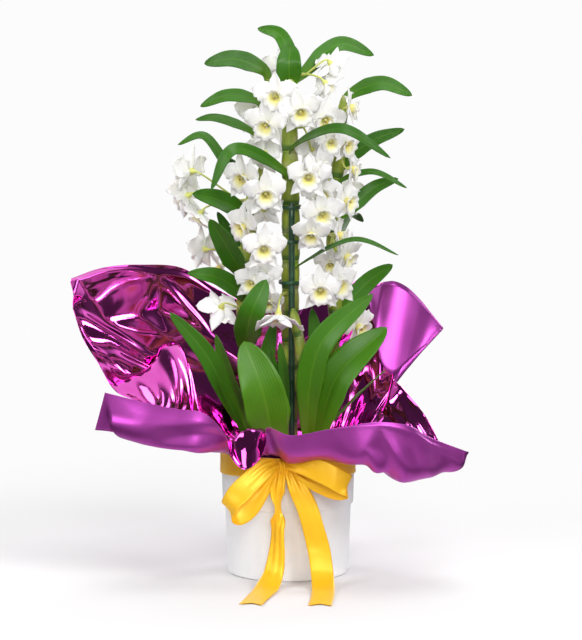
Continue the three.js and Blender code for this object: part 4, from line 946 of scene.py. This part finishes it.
# ---------------------------------------------------------------- canes and leaves
# Three tall canes, two young shoots and a young cane: jointed stems, swollen between their rings and
# wrapped in thin striped sheaths, with strap leaves whose bases clasp the stem. A leaf runs from its
# visible base by a middle point to its tip, with its width and the way that its upper face looks, in mm.
INTERNODE = 30
STEMS = {
    "cane_centre": {
        "route": [(3, -6, 74), (3, -6, 130), (2, -7, 250), (3, -8, 380), (2, -8, 470), (3, -6, 548)],
        "radius": 10,
        "leaves": [
            ((5, -5, 545), (-9, 4, 583), (-33, 12, 590), 17, (0.1, -1, 0.25)),
            ((2, -10, 532), (1, -18, 552), (3, -8, 573), 28, (0, -1, 0.2)),
            ((15, 0, 540), (56, 10, 573), (93, 16, 561), 19, (0, -1, 0.35)),
            ((4, -22, 462), (57, -77, 484), (107, -86, 454), 14, (0, -0.8, 0.6)),
            ((-1, -20, 434), (-58, -66, 462), (-81, -72, 420), 15, (0, -0.9, 0.4)),
            ((13, -22, 337), (73, -74, 368), (116, -78, 352), 9, (0, -0.6, 0.8)),
            ((2, 8, 496), (-8, 52, 514), (-6, 88, 492), 15, (0, 0.5, 0.85)),
        ],
    },
    "cane_left": {
        "route": [
            (-24, 4, 74), (-24, 4, 125), (-47, 8, 250), (-48, 8, 310), (-40, 8, 390), (-31, 8, 460),
            (-21, 5, 536),
        ],
        "radius": 8,
        "leaves": [
            ((-24, 5, 543), (-57, 0, 557), (-90, -4, 552), 21, (0, -1, 0.3)),
            ((-33, 12, 512), (-65, 14, 518), (-95, 12, 506), 15, (0, -1, 0.3)),
            ((-44, 8, 482), (-79, 10, 494), (-100, 6, 492), 11, (0, -1, 0.4)),
            ((-60, 5, 437), (-92, 4, 475), (-119, 0, 465), 11, (0, -1, 0.5)),
            ((-47, 0, 390), (-74, -30, 407), (-101, -55, 415), 24, (0, -1, 0.4)),
            ((-50, -2, 325), (-66, -30, 358), (-83, -48, 388), 26, (-0.4, -1, 0.4)),
            ((-48, -5, 301), (-75, -28, 324), (-107, -45, 330), 21, (0, -1, 0.4)),
            ((-46, -10, 252), (-38, -42, 289), (-23, -38, 323), 31, (0, -1, 0.1)),
            ((-50, 14, 340), (-64, 18, 368), (-77, 16, 392), 14, (-0.3, -0.6, 0.7)),
            ((-40, 20, 420), (-58, 56, 446), (-70, 92, 428), 15, (0, 0.5, 0.85)),
        ],
    },
    "cane_right": {
        "route": [(26, 10, 74), (26, 10, 125), (50, 12, 250), (49, 12, 400), (54, 12, 440), (60, 10, 518)],
        "radius": 8,
        "leaves": [
            ((64, 13, 516), (101, 10, 531), (134, 6, 518), 18, (0, -1, 0.3)),
            ((57, 12, 439), (87, 10, 467), (126, 6, 482), 17, (0, -1, 0.3)),
            ((57, 4, 426), (92, -8, 436), (128, -8, 419), 9, (0, -0.7, 0.7)),
            ((64, 14, 392), (94, 20, 418), (120, 16, 428), 17, (0, -1, 0.3)),
            ((60, 12, 287), (90, 12, 318), (114, 8, 335), 21, (0, -1, 0.3)),
            ((54, 24, 352), (70, 58, 384), (84, 94, 376), 15, (0, 0.5, 0.85)),
        ],
    },
    "shoot_left": {
        "route": [(-34, -22, 74), (-34, -22, 118), (-42, -24, 158)],
        "radius": 5,
        "leaves": [
            ((-52, -25, 168), (-87, -40, 241), (-126, -52, 289), 22, (0, -1, 0.4)),
            ((-44, -20, 164), (-63, -18, 212), (-78, -20, 262), 16, (-0.5, -1, 0.4)),
            ((-46, -26, 152), (-60, -36, 184), (-74, -42, 212), 8, (0, -0.7, 0.7)),
            ((-34, -18, 162), (-25, -11, 225), (-15, -9, 276), 20, (0, -1, 0.2)),
        ],
    },
    "shoot_front": {
        "route": [(-12, -36, 74), (-12, -36, 118), (-14, -40, 156)],
        "radius": 5,
        "leaves": [
            ((-15, -46, 142), (-27, -66, 205), (-47, -60, 259), 50, (0.1, -1, 0.3)),
            ((-12, -36, 158), (-10, -26, 203), (-20, -24, 248), 12, (0.6, -1, 0.2)),
            ((-8, -38, 156), (-4, -36, 212), (-9, -36, 256), 13, (-0.3, -1, 0.2)),
        ],
    },
    "shoot_right": {
        "route": [(24, -30, 74), (24, -30, 118), (26, -32, 156), (18, -37, 225), (5, -37, 292)],
        "radius": 7,
        "leaves": [
            ((22, -40, 156), (33, -62, 252), (90, -64, 310), 31, (-0.2, -1, 0.3)),
            ((31, -37, 152), (52, -50, 219), (106, -44, 272), 41, (-0.3, -1, 0.4)),
            ((34, -24, 150), (72, -20, 191), (105, -22, 223), 14, (-0.5, 0, 1)),
            ((22, -22, 156), (24, 20, 210), (22, 52, 238), 18, (0, -0.7, 0.7)),
            ((30, -22, 156), (33, -12, 225), (26, -10, 290), 22, (0, -1, 0.2)),
        ],
    },
}
STEM_LEAST, STEM_SWELL = 0.7, 0.3  # shares of its radius: at foot and tip, and what the middle adds
RING_LEAST, RING_SWELL = 0.82, 0.18  # the same from one ring to the next
RING_LIP, SHEATH_EDGE = 0.06, 0.05
STEM_SIDES = 20
STEM_STEP = 1.8  # mm between two rings of mesh points
LEAF_THICKNESS = 0.8 * MM
LEAF_ROWS = 36
LEAF_COLUMNS = 13
LEAF_CUP, LEAF_WAVE, LEAF_RIPPLE = 0.24, 0.05, 0.035  # shares of its half width
LEAF_DROP = 10  # a leaf leaves the stem's middle this far under its visible base
YOUNG_SHADE, GROWN_SHADE = 0.55, 0.2  # from 0, the darkest green, to 1


def tube_grid(line, radius, sides, spots):
    """A tube's points [side][along] round a line, with a point at each end, and its marks."""
    along = unit(np.gradient(line, axis=0))
    side = np.zeros_like(line)
    guess = np.array((1.0, 0, 0)) if abs(along[0][0]) < 0.8 else np.array((0, 1.0, 0))
    for i, way in enumerate(along):
        guess = guess - (guess @ way) * way
        guess = guess / np.linalg.norm(guess)
        side[i] = guess
    other = np.cross(along, side)
    turn = np.linspace(0, 2 * math.pi, sides, endpoint=False)[:, None, None]
    ring = line + (np.cos(turn) * side + np.sin(turn) * other) * np.asarray(radius)[:, None]
    first = np.broadcast_to(line[:1], (sides, 1, 3))
    last = np.broadcast_to(line[-1:], (sides, 1, 3))
    marks = triples(turn[..., 0], *spots)
    marks = np.concatenate([marks[:, :1], marks, marks[:, -1:]], axis=1)
    return np.concatenate([first, ring, last], axis=1), marks, True


def stem_line(stem, count):
    """Points of even spacing on a stem's middle line."""
    return resampled(smooth_through(stem["route"], 40), np.linspace(0, 1, count)) * MM


def stem_radius(stem, share, rings):
    """A stem's radius along it: slim at foot and tip, full between its rings, with a lip at each."""
    body = stem["radius"] * MM * (STEM_LEAST + STEM_SWELL * np.sin(math.pi * share ** 1.3))
    phase = (share * rings) % 1
    swell = RING_LEAST + RING_SWELL * np.sin(math.pi * phase) ** 0.7
    lip = RING_LIP * np.exp(-((phase - 0.5) % 1 - 0.5) ** 2 / 0.0012) + SHEATH_EDGE * (phase < 0.3)
    return body * (swell + lip) * np.interp(share, [0, 0.96, 0.99, 1], [1, 1, 0.6, 0.3])


def leaf_grid(leaf, root, shade):
    """A strap leaf's points [across][along]: a shallow V along its midrib with a slow wave."""
    start, middle, tip, width, faces = leaf
    share = np.linspace(0, 1, LEAF_ROWS) ** 0.95
    line = resampled(smooth_through([root, start, middle, tip], 24), share) * MM
    along = unit(np.gradient(line, axis=0))
    side = unit(np.cross(along, np.array(faces, float)))
    up = np.cross(side, along)
    outline = np.minimum(1, 0.3 + 1.7 * share) * np.clip(1 - share ** 4, 0, 1) ** 0.62
    half = width / 2 * MM * outline
    across = np.linspace(-1, 1, LEAF_COLUMNS)[:, None]
    wave = LEAF_WAVE * across * np.sin(7 * share + 9 * shade)
    lift = half * (LEAF_CUP * np.abs(across) ** 1.35 + wave)
    ripple = LEAF_RIPPLE * half * np.abs(across) ** 3 * np.sin(26 * share + 20 * shade)
    grid = line + side * (across * half)[..., None] + up * (lift + ripple)[..., None]
    return grid, triples(across, share, shade + 0 * across), False


leaf_tree, leaf_shader, leaf_green = new_material(
    "strap_leaf_green", Specular_IOR_Level=0.25, Coat_Weight=0.12, Coat_Roughness=0.25,
    Subsurface_Weight=0.06, Subsurface_Radius=(0.5, 1.0, 0.1), Subsurface_Scale=0.003)
leaf_spot = spot_values(leaf_tree)
leaf_mask = grain(leaf_tree, 35, (1, 1, 0.6)).outputs["Mask"]


def mixed(factor, first, second):
    """Two colours mixed by a factor. Each is a colour or a socket that gives one."""
    made = add_node(factor.id_data, "ShaderNodeMix", data_type="RGBA")
    wire(factor, made.inputs["Factor"])
    for socket, colour in ((made.inputs[6], first), (made.inputs[7], second)):
        if isinstance(colour, tuple):
            socket.default_value = (*colour, 1)
        else:
            wire(colour, socket)
    return made.outputs[2]


leaf_body = ramp(leaf_spot["Z"], [
    (0.0, (0.018, 0.095, 0.002)), (0.5, (0.036, 0.16, 0.002)), (1.0, (0.085, 0.25, 0.002))])
leaf_patchy = mixed(calculated("MULTIPLY", leaf_mask, 0.5), leaf_body, (0.02, 0.085, 0.003))
leaf_foot = calculated("SUBTRACT", 1.0, calculated(
    "SMOOTH_MIN", calculated("MULTIPLY", leaf_spot["Y"], 3.2), 1.0))
leaf_footed = mixed(calculated("MULTIPLY", leaf_foot, 0.6), leaf_patchy, (0.17, 0.32, 0.012))
midrib = between(calculated("ABSOLUTE", leaf_spot["X"]), 0.2, 0.0, (0.015, 0.075))
leaf_ribbed = mixed(midrib, leaf_footed, (0.2, 0.38, 0.02))
leaf_veins = calculated("SINE", calculated("MULTIPLY", leaf_spot["X"], 46.0))
vein_mask = calculated("MULTIPLY", calculated("ADD", leaf_veins, 1.0), 0.09)
wire(mixed(vein_mask, leaf_ribbed, (0.09, 0.26, 0.012)), leaf_shader.inputs["Base Color"])
wire(between(leaf_mask, 0.3, 0.42), leaf_shader.inputs["Roughness"])
bump(leaf_shader, calculated(
    "ADD", calculated("MULTIPLY", leaf_veins, 0.5), calculated("MULTIPLY", midrib, 2.5)), 0.12 * MM)

cane_tree, cane_shader, cane_green = new_material("striped_cane", Specular_IOR_Level=0.4)
cane_stripes = grain(cane_tree, 260, (1, 1, 0.05))
cane_patches = grain(cane_tree, 55).outputs["Mask"]
cane_body = ramp(spot_values(cane_tree)["Z"], [
    (0.0, (0.015, 0.05, 0.004)), (0.16, (0.04, 0.1, 0.008)), (0.26, (0.28, 0.34, 0.03)),
    (0.6, (0.42, 0.46, 0.05)), (0.9, (0.24, 0.32, 0.025)), (1.0, (0.03, 0.08, 0.006))])
cane_striped = mixed(
    calculated("MULTIPLY", cane_stripes.outputs["Mask"], 0.8), cane_body, (0.07, 0.17, 0.012))
papery = between(cane_patches, 0.0, 0.55, (0.55, 0.66))
wire(mixed(papery, cane_striped, (0.42, 0.40, 0.2)), cane_shader.inputs["Base Color"])
wire(between(cane_patches, 0.38, 0.55), cane_shader.inputs["Roughness"])
bump(cane_shader, cane_stripes.outputs["Height"], 0.3 * MM)


def joined_piece(name, *parts):
    """Several objects made one, each with its own material kept."""
    bpy.ops.object.select_all(action="DESELECT")
    for part in parts:
        part.select_set(True)
    bpy.context.view_layer.objects.active = parts[0]
    bpy.ops.object.join()
    parts[0].name = name
    bpy.ops.object.shade_smooth()
    return parts[0]


chance = np.random.default_rng(4)
stem_lines = {}
for name, stem in STEMS.items():
    length = np.linalg.norm(np.diff(stem_line(stem, 200), axis=0), axis=1).sum() / MM
    rings = round(length / INTERNODE)
    steps = int(length / STEM_STEP)
    share = np.linspace(0, 1, steps)
    line = stem_line(stem, steps)
    stem_lines[name] = line
    marks = (share[None, :], ((share * rings) % 1)[None, :])
    tube = marked_piece(name + "_tube", [
        tube_grid(line, stem_radius(stem, share, rings), STEM_SIDES, marks)])
    tube.data.materials.append(cane_green)
    blades = []
    for leaf in stem["leaves"]:
        root = line[np.argmin(np.abs(line[:, 2] / MM - (leaf[0][2] - LEAF_DROP)))] / MM
        shade = (YOUNG_SHADE if name.startswith("shoot") else GROWN_SHADE) + chance.uniform(-0.2, 0.3)
        blades.append(leaf_grid(leaf, root, float(np.clip(shade, 0, 1))))
    foliage = marked_piece(name + "_leaves", blades)
    foliage.data.materials.append(leaf_green)
    apply_modifier(foliage, "SOLIDIFY", thickness=LEAF_THICKNESS, offset=0)
    leafy = joined_piece(name + "_with_leaves", tube, foliage)
    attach(leafy, "root")
    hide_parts(name)

# ---------------------------------------------------------------- blooms
# Forty-four white blooms in short sprays off the canes. Each has three pointed sepals, two broad
# ruffled petals in front of them, and a lip rolled into a trumpet with a yellow throat, round a
# stubby column; behind it are a short green spur and a thin stalk.
PLAIN_BLOOM = (0, 1, 0, 0.92)  # pitch, size, roll and openness, where a bloom's row stops short
OPENNESS = PLAIN_BLOOM[-1]
# A spray's cane and the height where it leaves it, then its blooms: place, yaw, pitch, size, roll and
# openness, in mm and degrees. A bloom faces the front before it is turned.
SPRAYS = {
    "spray_01": ("cane_centre", 540, [
        ((45, -16, 553), 145, -35, 0.9), ((40, -24, 532), 125, -40, 0.9)]),
    "spray_02": ("cane_centre", 536, [((-7, 24, 549), 185, 0, 0.9)]),
    "spray_03": ("cane_centre", 512, [
        ((-13, -50, 519), -10), ((12, -54, 503), 10, -10), ((-22, -50, 489), -20, -10)]),
    "spray_04": ("cane_centre", 484, [((38, -30, 493), 25), ((26, -22, 461), 170, 0, 0.8)]),
    "spray_05": ("cane_right", 476, [
        ((65, -22, 506), 80, 10, 0.9), ((44, -39, 470), 20, 0, 0.85), ((60, -26, 467), 50, 0, 0.9),
        ((67, -20, 441), 75, 0, 0.85)]),
    "spray_06": ("cane_centre", 440, [((33, -57, 445), 35, 0, 0.8), ((21, -62, 434), 5)]),
    "spray_07": ("cane_left", 462, [((-26, -26, 457), -150)]),
    "spray_08": ("cane_left", 430, [
        ((-47, -50, 433), -35, -5), ((-24, -58, 417), 5, -10), ((-26, -22, 397), 170, 0, 0.85)]),
    "spray_09": ("cane_left", 404, [
        ((-103, -20, 438), -130, 5, 1.1), ((-108, -6, 411), -130, -25, 1.1),
        ((-94, -22, 393), -100, -50)]),
    "spray_10": ("cane_left", 372, [((-46, -47, 381), -50, -5), ((-26, -62, 359), 5, -5)]),
    "spray_11": ("cane_left", 352, [((-90, -6, 353), -125), ((-72, 2, 334), -75, -30)]),
    "spray_12": ("cane_right", 408, [
        ((35, -43, 415), 10), ((35, -50, 395), 15, -10), ((61, -25, 407), 60)]),
    "spray_13": ("cane_right", 366, [
        ((25, -58, 374), -10, -25, 0.9), ((52, -30, 371), 80), ((61, -22, 348), 60, -20),
        ((45, -22, 340), 5, -20, 0.8)]),
    "spray_14": ("cane_left", 286, [
        ((-71, -38, 294), -155, -35, 1, 0, 0.74), ((-38, -26, 319), -20, 0, 0.85),
        ((-26, -22, 327), -10, 0, 0.85)]),
    "spray_15": ("cane_centre", 306, [
        ((-10, -58, 288), -3, -80, 1.1, 180, 0.66), ((-20, -22, 298), -20, -20, 0.75)]),
    "spray_16": ("cane_right", 316, [((34, -55, 314), 5, -5), ((53, -35, 318), 30)]),
    "spray_17": ("cane_right", 274, [((74, -17, 271), 52, -12, 1.1)]),
    "spray_18": ("cane_left", 500, [((-34, 46, 500), 200), ((-20, 46, 474), 170, -10)]),
    "spray_19": ("cane_right", 420, [((40, 48, 430), 175), ((62, 46, 408), 150, -10)]),
}
SEPAL = {
    "length": 27, "width": 13.5, "ahead": 0, "ruffle": 0.3, "fray": 0.05, "cup": 0.2,
    "outline": [
        (0, 0.3), (0.12, 0.6), (0.3, 0.95), (0.45, 1), (0.65, 0.8), (0.82, 0.46), (0.93, 0.2), (1, 0)]}
PETAL = {
    "length": 26.5, "width": 22, "ahead": 1.3, "ruffle": 1.7, "fray": 0.13, "cup": -0.1,
    "outline": [
        (0, 0.16), (0.1, 0.34), (0.28, 0.8), (0.45, 1), (0.62, 0.98), (0.8, 0.72), (0.92, 0.4), (1, 0)]}
TEPALS = [(-128, SEPAL), (-52, SEPAL), (22, PETAL), (90, SEPAL), (158, PETAL)]
TEPAL_ROWS, TEPAL_COLUMNS = 24, 11
TEPAL_STRAY = 3  # degrees that a sepal or petal turns out of its place
TEPAL_LENGTHS = (0.94, 1.04)
TEPAL_TWIST = 0.12
TIP_CURLS = (1.5, 6)
FRAYS = ((17, 0.5), (31, 0.35), (53, 0.2))  # radians along the edge, and height
LIP_LEAN = math.radians(22)
LIP_THROAT, LIP_FLARE, LIP_LENGTH = 3.6, 6.6, 9.5
LOWER_FLARE, LOWER_LENGTH = 3, 4.2  # what the lip's lower side has over its upper side
LIP_ROLL = 2.6  # how far its edge rolls back
LIP_ROWS, LIP_SIDES = 14, 40
BLOOM_RODS = [  # the column, its cap and the spur: points, radii, sides and tone
    ([(0, 0.5, 0.2), (0, -4, -0.4), (0, -7, -2.2)], [2.2, 1.9, 1.7, 0.9], 10, 0.15),
    ([(0, -6.2, -1.6), (0, -7.4, -2.2), (0, -8.2, -2.8)], [1.1, 1.3, 0.5], 8, 0.75),
    ([(0, -1.2, 0), (0, 2.4, -0.4), (0, 7, 0)], [3.4, 3.2, 2.4, 1.4, 0.8], 12, 0.3),
]
BLOOM_STRAY = 0.08  # radians that a bloom rolls out of its place
SHANK_OUT = 5.5  # how far a spray's shank stands out from its cane
SHANK_RADII, SHANK_TONE = [2.4, 2.1, 1.5], 0.62
STALK_END, STALK_BEND = (0, 5, 0), (0, 14, 0)  # behind its bloom
STALK_RADII, STALK_TONES = (1.2, 0.95), (0.6, 0.35)
STALK_SIDES, STALK_STEPS = 8, 14
PETAL_THICKNESS = 0.45 * MM


def tepal_grid(angle, tepal, openness, chance):
    """A sepal or a petal: flat at its claw, cupped or ruffled at its edges, and curled at its tip."""
    angle = math.radians(angle + chance.normal(0, TEPAL_STRAY))
    length = tepal["length"] * chance.uniform(*TEPAL_LENGTHS)
    share = np.linspace(0, 1, TEPAL_ROWS)
    across = np.linspace(-1, 1, TEPAL_COLUMNS)[:, None]
    half = tepal["width"] / 2 * np.interp(share, *zip(*tepal["outline"]))
    fray = sum(np.sin(share * pace + chance.uniform(0, 6)) * size for pace, size in FRAYS)
    fray = tepal["fray"] * fray * np.abs(across) ** 3 * (1 + 0.6 * np.sign(across) * np.cos(share * 9))
    twist = chance.normal(0, TEPAL_TWIST)
    flat = openness == OPENNESS
    rise = math.tan(math.radians(90 * (1 - openness))) * (chance.uniform(0.4, 1.9) if flat else 1)
    curl = chance.uniform(*TIP_CURLS)
    forward = rise * length * share ** (2 if flat else 1.3) + tepal["ahead"]
    forward = forward - curl * np.clip(share - 0.6, 0, None)
    wave = np.sin(2 * math.pi * (2.2 + chance.uniform(-0.3, 0.5)) * share + 1.6 * np.sign(across)
                  + chance.uniform(0, 6))
    ruffle = tepal["ruffle"] * np.abs(across) ** 2.2 * wave * share ** 0.7
    ruffle += 0.5 * tepal["ruffle"] * across * np.sin(5 * share + chance.uniform(0, 6)) * share
    forward = forward + tepal["cup"] * half * across ** 2 * 2 + ruffle + twist * across * half
    keel = 0.5 * (1 - np.abs(across) * 3).clip(0, None) * (1 - share)
    out = share * length * (1 - 0.03 * across ** 2)
    aside = across * half * (1 + fray)
    cos, sin = math.cos(angle), math.sin(angle)
    grid = triples(out * cos - aside * sin, -(forward - keel), out * sin + aside * cos)
    return grid, triples(across, share, 0 * across), False


def lip_grid(chance):
    """The lip: a trumpet that leans down and opens into a ruffled mouth, longer below than above."""
    share = np.linspace(0, 1, LIP_ROWS)[None, :]
    turn = np.linspace(0, 2 * math.pi, LIP_SIDES, endpoint=False)[:, None]
    below = (1 - np.sin(turn)) / 2
    radius = LIP_THROAT + (LIP_FLARE + LOWER_FLARE * below) * share ** 1.9
    rolled_back = LIP_ROLL * np.clip(share - 0.78, 0, 1) / 0.22 * (0.4 + 0.6 * below)
    depth = 1 + (LIP_LENGTH + LOWER_LENGTH * below) * share - rolled_back
    rim = np.clip(share - 0.45, 0, 1) / 0.55
    phase = chance.uniform(0, 6)
    radius = radius + rim ** 1.5 * (0.6 * np.sin(9 * turn + phase) + 0.4 * np.sin(14 * turn))
    depth = depth + rim ** 2 * (0.9 * np.sin(9 * turn + phase + 1.3) + 0.6 * np.sin(5 * turn + phase))
    x, y, z = np.broadcast_arrays(radius * np.cos(turn), -depth, radius * np.sin(turn))
    cos, sin = math.cos(LIP_LEAN), math.sin(LIP_LEAN)
    grid = np.stack([x, y * cos - z * sin, y * sin + z * cos], axis=-1)
    throat = np.clip(1.15 - 1.25 * share, 0.02, 1)
    return grid, triples(turn * 0, share, throat + 0 * turn), True


def rod_grid(points, radii, sides, tone):
    """A short tube through points, with its tone as its mark."""
    line = resampled(smooth_through(points, 10), np.linspace(0, 1, 4 * len(points)))
    share = np.linspace(0, 1, len(line))
    radius = np.interp(share, np.linspace(0, 1, len(radii)), radii)
    return tube_grid(line, radius, sides, (share[None, :], np.full((1, len(line)), tone)))


def placed(patch, turn, at, size):
    """A patch of a bloom, turned, sized and put in its place."""
    grid, marks, closed = patch
    return (grid * size @ turn.T + np.array(at)) * MM, marks, closed


def bezier(points, count):
    """A cubic curve of four control points."""
    t = np.linspace(0, 1, count)[:, None]
    a, b, c, d = np.asarray(points, float)
    return (1 - t) ** 3 * a + 3 * t * (1 - t) ** 2 * b + 3 * t ** 2 * (1 - t) * c + t ** 3 * d


petal_tree, petal_shader, petal_white = new_material(
    "white_petal", Specular_IOR_Level=0.35, Sheen_Weight=0.08,
    Subsurface_Weight=0.25, Subsurface_Radius=(1.0, 0.95, 0.7), Subsurface_Scale=0.003)
petal_spot = spot_values(petal_tree)
petal_grain = grain(petal_tree, 120)
petal_tint = ramp(petal_spot["Z"], [
    (0.0, (0.80, 0.79, 0.775)), (0.22, (0.82, 0.81, 0.70)), (0.42, (0.84, 0.81, 0.46)),
    (0.7, (0.84, 0.77, 0.25)), (1.0, (0.72, 0.6, 0.14))])
petal_claw = between(petal_spot["Y"], 0.35, 0.0, (0.0, 0.3))
wire(mixed(petal_claw, petal_tint, (0.74, 0.78, 0.42)), petal_shader.inputs["Base Color"])
wire(between(petal_grain.outputs["Mask"], 0.42, 0.55), petal_shader.inputs["Roughness"])
petal_veins = calculated("SINE", calculated("MULTIPLY", petal_spot["X"], 26.0))
bump(petal_shader, calculated(
    "ADD", calculated("MULTIPLY", petal_veins, 0.3), petal_grain.outputs["Height"]), 0.12 * MM)

stalk_tree, stalk_shader, stalk_green = new_material(
    "bloom_stalk", Roughness=0.5, Subsurface_Weight=0.1, Subsurface_Scale=0.002)
stalk_grain = grain(stalk_tree, 150)
stalk_tint = ramp(spot_values(stalk_tree)["Z"], [
    (0.0, (0.86, 0.84, 0.55)), (0.3, (0.62, 0.64, 0.14)), (0.6, (0.34, 0.42, 0.05)),
    (0.75, (0.4, 0.26, 0.05)), (1.0, (0.2, 0.09, 0.02))])
wire(mixed(calculated("MULTIPLY", stalk_grain.outputs["Mask"], 0.4), stalk_tint, (0.6, 0.62, 0.25)),
     stalk_shader.inputs["Base Color"])
bump(stalk_shader, stalk_grain.outputs["Height"], 0.1 * MM)

IN_PLACE = (np.eye(3), (0, 0, 0), 1)  # neither turned, moved nor sized
chance = np.random.default_rng(23)
for name, (cane, height, blooms) in SPRAYS.items():
    line = stem_lines[cane] / MM
    cane_radius = STEMS[cane]["radius"]
    axis = line[np.argmin(np.abs(line[:, 2] - height))]
    middle = np.mean([bloom[0] for bloom in blooms], axis=0)
    out = (middle - axis) * (1, 1, 0)
    out /= np.linalg.norm(out)
    root = axis + out * cane_radius * 0.8
    fork = axis + out * (cane_radius + SHANK_OUT)
    shank = rod_grid([root, (root + fork) / 2, fork + out], SHANK_RADII, 10, SHANK_TONE)
    white_patches, green_patches = [], [placed(shank, *IN_PLACE)]
    for at, yaw, *said in blooms:
        pitch, size, roll, openness = (*said, *PLAIN_BLOOM[len(said):])
        turn = np.array(Matrix.Rotation(math.radians(yaw), 3, "Z")
                        @ Matrix.Rotation(math.radians(-pitch), 3, "X"))
        spin = np.array(Matrix.Rotation(math.radians(roll) + chance.normal(0, BLOOM_STRAY), 3, "Y"))
        parts = [tepal_grid(angle, tepal, openness, chance) for angle, tepal in TEPALS] + [lip_grid(chance)]
        white_patches.extend(placed(part, turn @ spin, at, size) for part in parts)
        green_patches.extend(placed(rod_grid(*rod), turn @ spin, at, size) for rod in BLOOM_RODS)
        end, behind = (turn @ place * size + at for place in (STALK_END, STALK_BEND))
        route = bezier([fork, fork + out * 5, behind, end], STALK_STEPS)
        marks = (np.linspace(0, 1, STALK_STEPS)[None, :], np.linspace(*STALK_TONES, STALK_STEPS)[None, :])
        stalk = tube_grid(route, np.linspace(*STALK_RADII, STALK_STEPS), STALK_SIDES, marks)
        green_patches.append(placed(stalk, *IN_PLACE))
    petals = marked_piece(name + "_petals", white_patches)
    petals.data.materials.append(petal_white)
    apply_modifier(petals, "SOLIDIFY", thickness=PETAL_THICKNESS, offset=0)
    stalks = marked_piece(name + "_stalks", green_patches)
    stalks.data.materials.append(stalk_green)
    spray = joined_piece(name + "_of_blooms", petals, stalks)
    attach(spray, "root")
    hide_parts(name)
